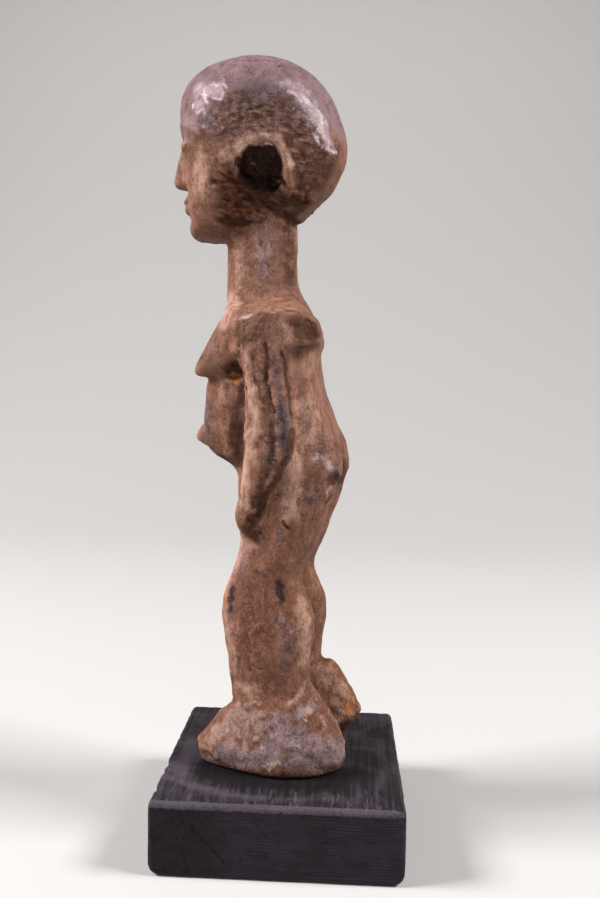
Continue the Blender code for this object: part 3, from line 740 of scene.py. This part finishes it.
TIDE_LINES = (
    (0.75, 1, (14.4, -16.8, 182.6), (15.4, -14.9, 182.2), (16.1, -12.9, 181.9), (16.5, -11.2, 182),
     (17.2, -9.9, 180.6), (17.3, -11.5, 179.3), (17.2, -12.4, 178.2), (16.5, -14.4, 178.5),
     (15.8, -16, 179.1), (15.2, -17.1, 179.9), (15, -16.7, 181.3), (14.4, -16.8, 182.6)),
    (0.95, 1, (15.1, -17.1, 180.1), (14.4, -18.9, 180), (14.3, -19.5, 178.9), (13.9, -20.3, 177.9),
     (14.3, -19.9, 176.4), (15.4, -17.9, 175.7), (15.9, -16.5, 176.3), (15.9, -16.3, 177.4),
     (15.6, -16.7, 178.8), (15.1, -17.1, 180.1)),
    (0.6, 0.7, (15.6, -12, 183.9), (16.4, -11.1, 182.2)),
    (0.8, 0.8, (15.9, -16.6, 175.2), (15.9, -16.5, 174.2), (15.4, -17.4, 172.8), (15.6, -16.9, 171)),
    (0.6, 0.8, (17.2, -13.1, 172.9), (17.5, -12.3, 173.4)),
    (1.2, 0.8, (16.1, 5.7, 179.6), (15.5, 7.7, 178.6), (15, 9.3, 177.7), (13.9, 11.2, 177.1)),
    (1.2, 0.7, (13.9, 11.2, 177.1), (13, 12.8, 176.3), (12.3, 14.1, 174.5), (12.7, 14.2, 173)),
    (0.9, 0.7, (12.7, 14.2, 173), (13.9, 13.4, 171.1), (15, 11.6, 169.8), (14.8, 12.4, 169)),
    (0.8, 0.6, (15, 9.3, 177.7), (15.8, 9, 175.6), (15.2, 10.8, 174), (14.4, 12.2, 172.2)),
    *spots(1, 0.7, (14.9, 10.9, 175.6), (14.2, 12.3, 174.6), (15.6, 10.6, 173), (14.6, 9.6, 179.6),
           (13.6, 12.9, 169.8)),
    (0.6, 0.7, (13.9, 13.4, 171.1), (15.3, 11.5, 171.1), (15.9, 10.1, 172.3), (16.1, 9.5, 172.9)),
    (1.7, 1, (15.3, 8.4, 178.2), (14.3, 9.9, 178.6)),
    (0.6, 0.8, (15.5, 8.6, 177.3), (16.3, 7.6, 176.2), (17.2, 6.2, 175)),
    *spots(0.7, 0.7, (17.7, 4.4, 175.5), (15.6, 9.6, 175.3), (16.4, 8.1, 175), (14.3, 11.8, 174.5),
           (17.8, 0.4, 178.6)),
    (0.9, 1, (14.8, 12.4, 169), (13.9, 13.4, 167.5), (11.9, 15.4, 166.5), (8.9, 17.5, 166.4)),
    (0.5, 0.5, (8.9, 17.5, 166.4), (7.7, 18.3, 167.9), (9.1, 17.7, 169.1)),
    (2.2, 0.7, (13.6, 13.4, 171.6), (12.8, 14.7, 169.4), (11.6, 15.9, 168.2)),
)
TIDE_FAR = (
    (0.7, 0.9, (15.8, -8, 183), (14.6, -5, 185.4), (12, -4.6, 187.6), (12.6, -8.4, 187.2),
     (15.8, -8, 183)),
    (0.8, 1, (15, 8, 180), (12.6, 12, 178), (13.4, 13.4, 173), (15.2, 10.6, 171.4)),
)
HAZE = (
    (3, 0.9, (13.9, -18.1, 182), (16, -14, 180.3), (16.6, -11.8, 180.6)),
    (2.4, 0.9, (15, -18.3, 178)),
    (1.8, 0.6, (15.6, -16.9, 171.4)),
    (2.8, 0.7, (15.5, 3.8, 182), (13.9, 7.9, 182), (13.5, 9.7, 180.4)),
    (3.4, 0.9, (15.4, 8, 178.6), (14, 11.2, 176.4), (13, 13.6, 173)),
    (1.8, 0.5, (16.4, 8.1, 175), (15.6, 10.4, 172.4)),
    (3, 1, (13.4, 13.4, 172.6), (12.6, 14.9, 169.7), (11.4, 16, 168)),
    (2.2, 1, (12.6, 14.9, 169.2), (11.7, 15.8, 168.4), (9.9, 17.1, 167.7)),
    (4.2, 0.3, (17.7, 8.4, 42), (17.3, 10.4, 38)),
    (2.4, 0.6, (15.7, 15.7, 85.3), (14.6, 17.8, 84.4)),
    (1.6, 0.6, (8.6, -3.4, 141.5), (8.5, -2, 139)),
    (4, 0.38, (8.3, -1.4, 148), (8.2, -1, 141), (8.4, -2.1, 134)),
    (3, 0.4, (5, -13, 125), (11, -11, 122)),
)
HAZE_FAR = (
    (3, 0.8, (14.4, -6.6, 185), (12.4, -6.4, 187)),
    (2.6, 0.8, (13.6, 10.6, 178), (13.4, 12.6, 173.6)),
)
# Polished edges and painted highlights, bare orange wood, painted shade and dark lines, dirt, crackle and
# reddish wood
# Polish, and painted highlights on the yoke's ridge, the hip, the ear rims, the neck, breast and navel
POLISH_AND_HIGHLIGHTS = (
    (0.8, 1, (19.8, -5.8, 121.5), (20, -4.4, 121.7), (20.1, -3, 122.4)),
    (0.6, 0.8, (20.6, 1.8, 123.2), (20.5, 4.6, 123.3)),
    (0.6, 0.7, (20.5, 6.5, 122.9)),
    (1.9, 0.8, (13.9, 18.7, 83.4), (13.6, 19, 82.5)),
    (0.6, 0.9, (17.8, -6.9, 164.2), (18.4, -5.3, 165.6), (18.6, -4.2, 166.2)),
    (0.6, 0.9, (18.4, -0.4, 166.6), (17.4, 1.6, 166)),
    (0.6, 0.8, (16.9, 3.9, 163.2), (16.6, 4.5, 161.4)),
    (1.2, 0.5, (8.5, -4, 144), (8.6, -3.4, 139.5)),
    (1.8, 0.5, (8.4, -19.8, 107.6)),
    (1.5, 0.4, (0, -21, 89.6)),
)
RAW = (
    (1.6, 1, (9.5, -9.6, 106.6), (10.8, -8, 105.8), (11.8, -7.2, 105.4)),
    (1.6, 1, (13.6, -9.3, 49.4), (14.6, -8.9, 45.6)),
)
RAW_FAR = ((2.2, 0.9, (-7.5, 23.6, 11.3), (-7.3, 24, 9.4)),)
# Painted shade deep in the ear hollows, and a touch of it beside the belly
DEEP_SHADE_STROKES = (
    (1.7, 1, (17.4, -1.4, 165.8), (16.4, 1.2, 165.2), (15.2, 2.6, 163.6), (14.4, 3.4, 161.6)),
    (2, 1, (16.6, -7.4, 161.8), (15, -6, 160.4), (13.4, -4.6, 160.8), (13.2, -3, 160)),
    (3.4, 1, (15.5, -3.2, 164.3), (13.8, -0.7, 162.7), (13.1, -1.8, 160.8), (12.6, -0.2, 159.6)),
    (2.6, 1, (16.1, -6.1, 161.5), (15.4, -5, 163.5)),
    (2.2, 1, (14.3, 2.2, 162.8), (13.2, 2.4, 159.7)),
    (2.4, 0.8, (12.6, 1.4, 156.9), (12.8, -1.8, 157.9)),
    (1.5, 0.6, (13.2, 2.7, 159.7), (15.2, 4.9, 157.2)),
    (3.2, 0.5, (15.2, -6.6, 158.8), (14.2, -3, 157.6), (13.4, 0.6, 156.6)),
    (3.4, 0.3, (11.2, -6.6, 93), (11, -7, 88.6), (10.6, -7.4, 85)),
)
# Painted shade under the skull, ears, belly, buttocks and yoke, and the dark lines of folds and cracks
SHADE_AND_GROOVE_STROKES = (
    (2.3, 1, (12.3, -6.2, 154.3), *NAPE, (0, 6.8, 149.4)),
    (3.6, 0.9, (10.9, 4.5, 152.9), (9.6, 7.6, 153.7), (7, 9.3, 153.2), (6.9, 7, 151.6)),
    (3.4, 0.6, (9.8, -13.4, 149), (8.6, -10, 147)),
    (4.6, 0.55, (15, -8.6, 158.4), (13.8, -4, 156.4), (12.8, 1.5, 155.4)),
    (3.6, 0.4, (13, -10.5, 155.4), (12, -6, 153)),
    (0.7, 0.8, *FRONT_FOLD),
    (0.6, 0.7, *MIDDLE_FOLD),
    (0.9, 0.9, *REAR_FOLD),
    (1.7, 1, (19.2, 9.3, 92.5), *ARM_EDGE, (18, 0.6, 68.3)),
    (2.8, 0.9, (18.2, -0.8, 68.6), (17.4, -2.8, 65.4), (17, 0.3, 63.6)),
    (1.7, 1, (11.1, -9.2, 110), (13, -8.4, 110.6), (16, -7, 110.4)),
    (2.6, 0.8, (12.3, -5.9, 103), (12, -5.8, 101), (11.3, -7.4, 97.4)),
    (4.4, 1.3, (11.2, -6.7, 94.4), (11, -7, 89.2)),
    (3.6, 1, (10.9, -7.5, 88.6), (10.9, -6.4, 86), (9.8, -7.6, 83.5), (5, -12, 83)),
    (2.8, 0.85, (12.4, 19.6, 79.6), (10.4, 20.4, 79.6)),
    (4.5, 0.45, (5.2, 19.8, 78.2), (6.6, 21, 82.4)),
    (4.2, 0.5, (9, -14.5, 105.2)),
    (5.5, 0.4, (20.4, 9.7, 119.5), (19.7, 12.2, 119), (19, 14.3, 117.6)),
    (0.6, 0.8, (20.1, 10.2, 120.9), (19.8, 12.1, 120.7), (19.1, 13.9, 119.7), (19.3, 13.7, 117.3),
     (19.3, 13.4, 115.5)),
    (0.6, 0.6, (20.1, 10.4, 120.6), (20.3, 10.8, 118.1)),
    (1.1, 0.6, (20, 11.2, 116.4), (19.4, 12.8, 115.6)),
    (0.5, 0.6, (19.8, -6, 120.7), (20.3, -3, 121.5), (20.6, 0, 122.4), (20.6, 1.8, 122.3)),
    *broader(CRACKS, 1.3, 1.4),
)
# Painted shade on the far buttock
FAR_BUTTOCK_SHADE = ((4.2, 0.9, (5.1, 19.8, 78.2), (4.4, 20.6, 80.6)),)
UPPER_ARM = (
    (20.2, -4.5, 119.6), (20.7, -1.9, 118.9), (20.6, 0.6, 119.6), (20.8, -1.9, 116.7), (20.4, -4.6, 116.4),
)
# Grime, and painted shade on the skull's side, the neck's back, the yoke's rear and the belly
GRIME_AND_SHADE = (
    (3.2, 0.42, *UPPER_ARM),
    (2.4, 0.36, (20.6, 0.4, 114), (20.5, 0.8, 110), (20.2, 1.8, 104), (20, 3.2, 100), (20.1, 3.8, 96)),
    (2.2, 0.7, (20, 2.9, 94), (19.9, 3.1, 88)),
    (3, 1, (19.7, 4.1, 82.5), (18.8, 1.9, 76.5), (18.8, 0.1, 71.2)),
    (2.6, 0.8, (19.8, 4.6, 90), (19.7, 4.1, 82.5)),
    (2.6, 0.6, (19.6, 9, 118.6), (19.4, 12, 117.6)),
    (10, 1.1, (17.4, -10, 173), (18.4, -4, 173.4), (18.8, 2, 173), (15.4, 10, 165), (13, 14, 161)),
    (5, 0.75, (5.5, 4.5, 148), (4.9, 5.1, 141.4), (4.5, 5.4, 133)),
    (5.6, 0.62, (20.4, 8.2, 119.5), (19.7, 12.2, 119.6), (19, 14.3, 117.6)),
    (3.4, 0.7, (16.9, -1, 176), (16.9, 3, 178)),
    (5, 0.4, (17.4, 9.6, 110), (17.2, 10.1, 105)),
    (7, 0.55, (6, -16, 86), (7, -16.6, 98)),
    (4, 0.5, (12.4, -14.6, 112), (9, -18, 110)),
)
CRACKLED = (
    (3.2, 0.7, *UPPER_ARM),
    (2, 0.5, (20.6, 0.4, 114), (20.5, 0.8, 110), (20.2, 1.8, 104)),
    (2.6, 0.5, (19.6, 9, 118.6), (19.4, 12, 117.6)),
)
REDDISH = (
    (5.5, 1, (18.5, 0.1, 44), (18.7, 0.7, 33)),
    (4, 0.8, (17.8, -2, 50)),
    (5, 0.7, (17.6, 3, 24)),
)
FOOT_SHADE = (
    (5, 0.7, (20.6, 9, 5), (19, 15, 4.4), (16, 20.6, 4)),
    (3.4, 0.5, (20.8, 3, 3.6), (19.6, -3, 3.2), (17.4, -9, 3)),
)
# Painted shade on the bevel under the toes and sides of the feet
TOE_BEVEL = (
    (3, 1, (6, -18, 2.4), (12, -17, 2.4), (15.6, -14.4, 2.2), (17, -11.3, 1), (18.7, -6, 0)),
    (2.5, 1, (18.7, -6, 0), (19.8, -1, 0), (20.6, 4, 0.2), (20.8, 9, 0.2), (19.6, 14, 0.2),
     (17.4, 18.4, 0.4)),
    (2.6, 0.9, (17.4, 18.4, 0.8), (14.4, 22.7, 1.6), (11, 24.6, 2.6)),
)
for name, strokes, sway in (
    ("tan", on_both(TAN) + on_right(FAR_TAN_AND_LIGHT), 0.6),
    ("pale foot", on_both(PALE_FOOT), 0.8),
    ("grey foot", on_both(GREY_FOOT), 0.8),
    ("patina", on_both(PATINA), 0.7),
    ("inky", on_left(INKY), 0.7),
    ("tide lines", on_left(TIDE_LINES) + on_right(TIDE_FAR), 0.5),
    ("haze", on_left(HAZE) + on_right(HAZE_FAR), 0.8),
    ("polish_and_highlight", on_both(POLISH_AND_HIGHLIGHTS), 0.3),
    ("crust", on_left(broader(CRUST, 1.9)), 0.7),
    ("raw", on_left(RAW + RAW_FAR), 0.5),
    ("deep shade", on_both(DEEP_SHADE_STROKES), 0.5),
    ("foot shade", on_both(FOOT_SHADE), 0.8),
    ("toe bevel", on_both(TOE_BEVEL), 0.4),
    ("crackled", on_both(CRACKLED), 0.6),
    ("grime_and_shade", on_both(GRIME_AND_SHADE), 0.6),
    ("reddish", on_both(REDDISH), 1.0),
):
    tint(figure, name, brushed(figure, strokes, sway))
# Painted shade and dark fold lines, with the pits
shade_and_groove_lines = brushed(figure, on_both(SHADE_AND_GROOVE_STROKES) + on_right(FAR_BUTTOCK_SHADE), 0.3)
tint(figure, "dark", np.maximum(shade_and_groove_lines, brushed(figure, on_left(PITS), 0.4) * 0.8))
tint(figure, "under ear", under_ear)
tint(figure, "fine wear", standing_out(figure, 4))
# How deep each point lies in a broad hollow, for painted shade
tint(figure, "broad hollows", standing_out(figure, 41))
tint(figure, "facing down", np.clip(-normals_of(figure)[:, 2], 0, 1))

BROWNS = ((0.165, 0.073, 0.045, 1), (0.29, 0.144, 0.1, 1))
TANS = ((0.34, 0.178, 0.126, 1), (0.54, 0.32, 0.24, 1))
RIM_TANS = ((0.52, 0.29, 0.205, 1), (0.86, 0.56, 0.46, 1))
FOOT_TANS = ((0.33, 0.19, 0.15, 1), (0.46, 0.3, 0.275, 1))
FOOT_GREYS = ((0.212, 0.144, 0.144, 1), (0.368, 0.268, 0.284, 1))
BEVEL_GREYS = ((0.095, 0.064, 0.06, 1), (0.215, 0.15, 0.14, 1))
CROWN_GREYS = ((0.18, 0.115, 0.124, 1), (0.255, 0.165, 0.185, 1))
SLATES = ((0.055, 0.039, 0.049, 1), (0.165, 0.115, 0.125, 1))
INKS = ((0.02, 0.013, 0.016, 1), (0.055, 0.039, 0.049, 1))
CUT_REDS = ((0.04, 0.011, 0.004, 1), (0.195, 0.062, 0.03, 1))
DEEP_SHADE_BLACKS = ((0.006, 0.002, 0.001, 1), (0.036, 0.014, 0.009, 1))
RAW_ORANGES = ((0.32, 0.105, 0.036, 1), (0.58, 0.235, 0.1, 1))
RED_BROWN = (0.15, 0.055, 0.031, 1)
RUSSET = (0.125, 0.043, 0.022, 1)
SOLE_RED = (0.14, 0.035, 0.02, 1)
OCHRE = (0.46, 0.245, 0.17, 1)
CUT_TAN = (0.22, 0.115, 0.085, 1)
GRIME_AND_SHADE_BROWN = (0.068, 0.027, 0.018, 1)
DEEP_BROWN = (0.052, 0.021, 0.013, 1)
SHADE_AND_GROOVE_BROWN = (0.026, 0.01, 0.006, 1)
SOOT_AND_SHADE = (0.012, 0.005, 0.003, 1)
SMUDGE = (0.092, 0.056, 0.062, 1)
FOOT_SLATE = (0.08, 0.056, 0.062, 1)
PALE_GRIT = (0.5, 0.34, 0.3, 1)
CRUSTY = (0.5, 0.295, 0.225, 1)
CHALKY = (0.64, 0.5, 0.56, 1)
PAINTED_HIGHLIGHT = (0.66, 0.54, 0.56, 1)

shader, place = finish_for(figure, "carved_wood")
up = axes_of(place)[2] - SOLE
blotches = clouds(place, 10, 3, 0.6, 0.4)
mottle = clouds(stretch(place, 1, 1, 0.8), 2.4, 4, 0.65)
specks = clouds(place, 0.8, 3, 0.6)
grit = clouds(place, 0.42, 2, 0.6)
fibres = clouds(stretch(place, 1, 1, 0.14), 0.8, 3, 0.6)
ticks = clouds(stretch(place, 0.35, 0.35, 1.3), 1.6, 3, 0.65)
cuts = clouds(stretch(slanted(place, 22), 0.4, 0.22, 1.3), 1.0, 3, 0.6)
blotchy, mottled, specked = blotches - 0.5, mottle - 0.5, specks - 0.5
gritty, fibrous = grit - 0.5, fibres - 0.5
frayed = mottled * 1.2 + specked * 0.9
crown = step(up + blotchy * 16, 166, 178)
head = step(up, 148, 158)
legs = step(up + blotchy * 26, 78, 58)


def stroked(name, low, high, fray):
    """Where a brush went, from 0 to 1, with its edge frayed."""
    return step(painted(place, name) + frayed * fray, low, high)


# The wood itself: light brown over brown, redder on the legs
colour = mixed(mottle + fibrous * 0.4 + blotchy * 0.6 + gritty * 0.5, 0.32, 0.68, BROWNS)
red_legs = legs * step(blotches + mottled * 0.8 + gritty * 0.5, 0.34, 0.6)
colour = over(red_legs * 0.7, colour, RED_BROWN)
ochre_legs = legs * step(mottle + blotchy * 0.6 + specked * 0.4 + gritty * 0.3, 0.46, 0.74)
colour = over(ochre_legs * 0.34, colour, OCHRE)
reddish = stroked("reddish", 0.1, 0.7, 0.4)
colour = over(reddish * step(specks + mottled * 0.5 + gritty * 0.5, 0.62, 0.42) * 0.75, colour, RUSSET)

# Rubbed to a tan, palest on the rims of the ears
tan = stroked("tan", 0.1, 0.65, 0.34)
colour = over(tan * 0.78, colour, mixed(mottle + fibrous * 0.4 + gritty * 0.4, 0.3, 0.66, TANS))
rim_colour = mixed(mottle + gritty * 0.6 + specked * 0.5, 0.34, 0.64, RIM_TANS)
colour = over(stroked("tan", 0.75, 1.4, 0.4) * 0.72, colour, rim_colour)

# Dust on the feet
pale_foot = stroked("pale foot", 0.04, 0.75, 0.16)
colour = over(pale_foot * 0.8, colour, mixed(mottle + gritty * 0.5 + specked * 0.3, 0.3, 0.7, FOOT_TANS))
grey_foot = step(painted(place, "grey foot") + frayed * 0.3 + blotchy * 0.3, 0.0, 0.6)
grey_foot = grey_foot * (1 - pale_foot * 0.8)
dust_colour = mixed(mottle + gritty * 0.35 + specked * 0.4, 0.3, 0.7, FOOT_GREYS)
colour = over(grey_foot * 0.82, colour, dust_colour)

# The crown of the head, pinkish grey and smudged
crown_colour = mixed(mottle + blotchy * 0.8, 0.3, 0.64, CROWN_GREYS)
smudges = step(clouds(place, 5, 4, 0.6, 1.2) + specked * 0.5, 0.5, 0.68)
crown_colour = over(smudges * 0.42, crown_colour, SMUDGE)
colour = over(crown * step(blotches + frayed * 0.3, 0.2, 0.42) * 0.88, colour, crown_colour)

# Grime, partly painted shade, then patina and ink
grime_and_shade = stroked("grime_and_shade", 0.08, 0.6, 0.35) * (1 - tan * 0.75)
grain = step(ticks + mottled * 0.8, 0.62, 0.4)
colour = over(grime_and_shade * (0.44 + 0.48 * grain), colour, GRIME_AND_SHADE_BROWN)
patina = stroked("patina", 0.1, 0.62, 0.4)
colour = over(patina * 0.78, colour, mixed(mottle + specked * 0.5 + gritty * 0.5, 0.34, 0.66, SLATES))
ink_colour = mixed(specks + gritty * 0.5, 0.46, 0.72, INKS)
colour = over(stroked("inky", 0.05, 0.7, 0.2) * 0.93, colour, ink_colour)

# Specks, ticks and crackle
speckle = step(specks + mottled * 0.8 + blotchy * 0.5, 0.44, 0.28)
colour = over(speckle * 0.32, colour, DEEP_BROWN)
colour = over(step(grit + specked * 0.6, 0.42, 0.28) * (0.16 + 0.12 * legs), colour, DEEP_BROWN)
colour = over(step(grit + specked * 0.6, 0.62, 0.76) * 0.22, colour, PALE_GRIT)
colour = over(step(ticks + blotchy * 0.4, 0.37, 0.28) * head * 0.55, colour, DEEP_BROWN)
seams = cells(stretch(place, 1, 1, 0.8), 4 / 3, feature="DISTANCE_TO_EDGE")
crackle = step(seams + specked * 0.9 + mottled * 0.5, 0.14, 0.02)
crackle = crackle * step(painted(place, "crackled"), 0.1, 0.6)
colour = over(crackle * 0.32, colour, DEEP_BROWN)

# The short cuts under the ears
under_ear = stroked("under ear", 0.05, 0.85, 0.25)
cut_colour = mixed(cuts + specked * 0.6 + mottled * 0.5, 0.34, 0.7, CUT_REDS)
cut_edges = step(cuts + mottled * 0.9 + specked * 0.5, 0.64, 0.9)
cut_colour = over(cut_edges * 0.8, cut_colour, CUT_TAN)
colour = over(under_ear * 0.85, colour, cut_colour)

# Dirt in fine hollows, painted shade in broad hollows, creases, underneath and in the ears, and wear on
# what stands out
fine_wear = painted(place, "fine wear")
broad_hollows = painted(place, "broad hollows")
colour = over(step(fine_wear + specked * 0.05, -0.03, -0.16) * 0.5, colour, SOOT_AND_SHADE)
# Painted shade in broad hollows and creases
colour = over(step(broad_hollows + mottled * 0.3, -0.15, -0.85) * 0.58, colour, DEEP_BROWN)
worn = step(fine_wear + specked * 0.06, 0.03, 0.11) * (1 - patina * 0.7) * (1 - under_ear * 0.7)
colour = over(worn * 0.4, colour, OCHRE)
# Painted shade in creases and under the belly, buttocks and yoke, over dark lines of folds, pits and
# cracks
dark = stroked("dark", 0.1, 0.65, 0.3)
colour = over(dark * 0.66, colour, SHADE_AND_GROOVE_BROWN)
# Painted shade on all that faces down, little of it by the soles
down = painted(place, "facing down") * step(mottle, 0.2, 0.6)
colour = over(down * (0.62 - 0.54 * step(up, 4, 2)), colour, SOOT_AND_SHADE)
# Painted shade, near black, deep in the ear hollows
deep_shade = stroked("deep shade", 0.06, 0.36, 0.1)
colour = over(deep_shade * 0.95, colour, mixed(mottle + specked * 0.8, 0.42, 0.72, DEEP_SHADE_BLACKS))

# Bare wood, haze with painted glints, tide lines, crumbs of crust, and polished edges with painted
# highlights
raw = stroked("raw", 0.22, 0.5, 0.2)
colour = over(raw * 0.85, colour, mixed(fibres, 0.35, 0.65, RAW_ORANGES))
haze = stroked("haze", 0.1, 0.65, 0.45)
# Pale flecks in the haze, painted as glints
haze_glints = step(specks + mottled * 0.5 + gritty * 0.8, 0.5, 0.72)
colour = over(haze * 0.3, colour, CHALKY)
colour = over(haze * haze_glints * 0.46, colour, CHALKY)
tide = stroked("tide lines", 0.22, 0.8, 0.34)
colour = over(tide * (0.5 + 0.38 * step(specks + gritty * 0.6, 0.3, 0.6)), colour, CHALKY)
crust = stroked("crust", 0.18, 0.6, 0.45)
colour = over(crust * 0.85, colour, CRUSTY)
# Polish, with a painted pale highlight over it
polish_and_highlight = stroked("polish_and_highlight", 0.1, 0.9, 0.14)
colour = over(polish_and_highlight * 0.68, colour, PAINTED_HIGHLIGHT)

# Painted shade along the lower edges of the feet, and the red edge of the soles
colour = over(stroked("foot shade", 0.05, 0.75, 0.3) * 0.26, colour, FOOT_SLATE)
bevel_colour = mixed(mottle + gritty * 0.6, 0.36, 0.66, BEVEL_GREYS)
colour = over(stroked("toe bevel", 0.08, 0.7, 0.3) * 0.5, colour, bevel_colour)
# Painted shade along the bottom of the feet, where they meet the block
foot_rim = step(up + frayed * 1.6, 2.0, 0.5) * step(specks + mottled * 0.6, 0.62, 0.4)
colour = over(foot_rim * 0.35, colour, SOOT_AND_SHADE)
colour = over(step(up + specked * 0.8, 0.75, 0.35) * 0.8, colour, SOLE_RED)

roughness = 0.66 + specked * 0.25 + mottled * 0.15 - patina * 0.12 - crown * 0.06 + dark * 0.15
roughness = roughness + raw * 0.2 + crust * 0.2 + legs * 0.06 - polish_and_highlight * 0.3 + under_ear * 0.1
gloss = 0.02 + crown * 0.04 + haze * 0.08 + tide * 0.12 + polish_and_highlight * 0.7 + patina * 0.1 + tan * 0.03
gloss = gloss * (1 - dark) * (1 - deep_shade) * (1 - under_ear)
relief = mottle * 0.6 + specks * 0.6 + grit * (0.35 + 0.35 * legs) + fibres * 0.15
relief = relief + crust * 0.5 + tide * 0.3 - crackle * 0.3 + cuts * under_ear * 1.4 + ticks * head * 0.7
lay_on(shader, 0.36, base_color=colour, roughness=roughness, coat_weight=gloss, relief=relief)
shader.inputs["Coat Roughness"].default_value = 0.36
shader.inputs["Specular IOR Level"].default_value = 0.1

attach(figure, "root")
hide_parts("figure")


# The studio: a pale table that curves up behind the figure, two soft lights from above on either
# side of the camera and a weaker one beside it.

TABLE_LENGTH, TABLE_WIDTH = 3.0, 5.0
TABLE_FRONT = 0.9
TABLE_FLAT = 1.35  # its length before the bend
TABLE_BEND = 0.6
bpy.ops.mesh.primitive_grid_add(x_subdivisions=60, y_subdivisions=2, size=1)
table = bpy.context.object
table.name = "table"
for vertex in table.data.vertices:
    along = (0.5 - vertex.co.x) * TABLE_LENGTH
    turned = min(max(along - TABLE_FLAT, 0) / TABLE_BEND, math.pi / 2)
    beyond = max(along - TABLE_FLAT - TABLE_BEND * math.pi / 2, 0)
    vertex.co = (
        TABLE_FRONT - min(along, TABLE_FLAT) - TABLE_BEND * math.sin(turned),
        vertex.co.y * TABLE_WIDTH,
        TABLE_BEND * (1 - math.cos(turned)) + beyond,
    )
bpy.ops.object.shade_smooth()
paper = bpy.data.materials.new("pale_table")
paper.use_nodes = True
sheet = paper.node_tree.nodes["Principled BSDF"].inputs
sheet["Base Color"].default_value = (0.55, 0.545, 0.54, 1)
sheet["Roughness"].default_value = 0.85
table.data.materials.append(paper)

LIT_PLACE = (0, 0, 0.11)
LAMPS = (
    ("key", (0.16, -0.86, 0.75), 0.35, 17.5, (1.0, 0.97, 0.96)),
    ("rim", (0.12, 0.76, 0.82), 0.35, 13.0, (1.0, 0.98, 0.95)),
    ("fill", (0.9, -0.05, 0.45), 0.6, 1.1, (1.0, 0.98, 0.99)),
)
for name, where, size, power, tone in LAMPS:
    bpy.ops.object.light_add(type="AREA", location=where)
    lamp = bpy.context.object
    lamp.name = name
    lamp.data.size = size
    lamp.data.energy = power
    lamp.data.color = tone
    lamp.rotation_euler = (Vector(LIT_PLACE) - Vector(where)).to_track_quat("-Z", "Y").to_euler()
room = bpy.data.worlds.new("room")
room.use_nodes = True
air = room.node_tree.nodes["Background"].inputs
air["Color"].default_value = (0.9, 0.93, 1.0, 1)
air["Strength"].default_value = 0.06
scene.world = room
scene.view_settings.view_transform = "Standard"

# The camera stands at the figure's left side, a little above its middle
CAMERA_PLACE = (0.2344, 0.0135, 0.1215)
CAMERA_TURNS = (2.66, 3.71, 1.13)
SENSOR = 36
FOCUS = 840 / 898  # the lens's length over the picture's height
yaw, pitch, roll = (math.radians(angle) for angle in CAMERA_TURNS)
forward = Vector((-math.cos(yaw) * math.cos(pitch), -math.sin(yaw) * math.cos(pitch), -math.sin(pitch)))
level = forward.cross(Vector((0, 0, 1))).normalized()
upright = level.cross(forward)
right = math.cos(roll) * level + math.sin(roll) * upright
top = math.cos(roll) * upright - math.sin(roll) * level
bpy.ops.object.camera_add()
camera = bpy.context.object
aim = Matrix((right, top, -forward)).transposed().to_4x4()
camera.matrix_world = Matrix.Translation(CAMERA_PLACE) @ aim
camera.data.sensor_fit = "VERTICAL"
camera.data.sensor_height = SENSOR
camera.data.lens = SENSOR * FOCUS
camera.data.clip_start = 0.01
scene.camera = camera
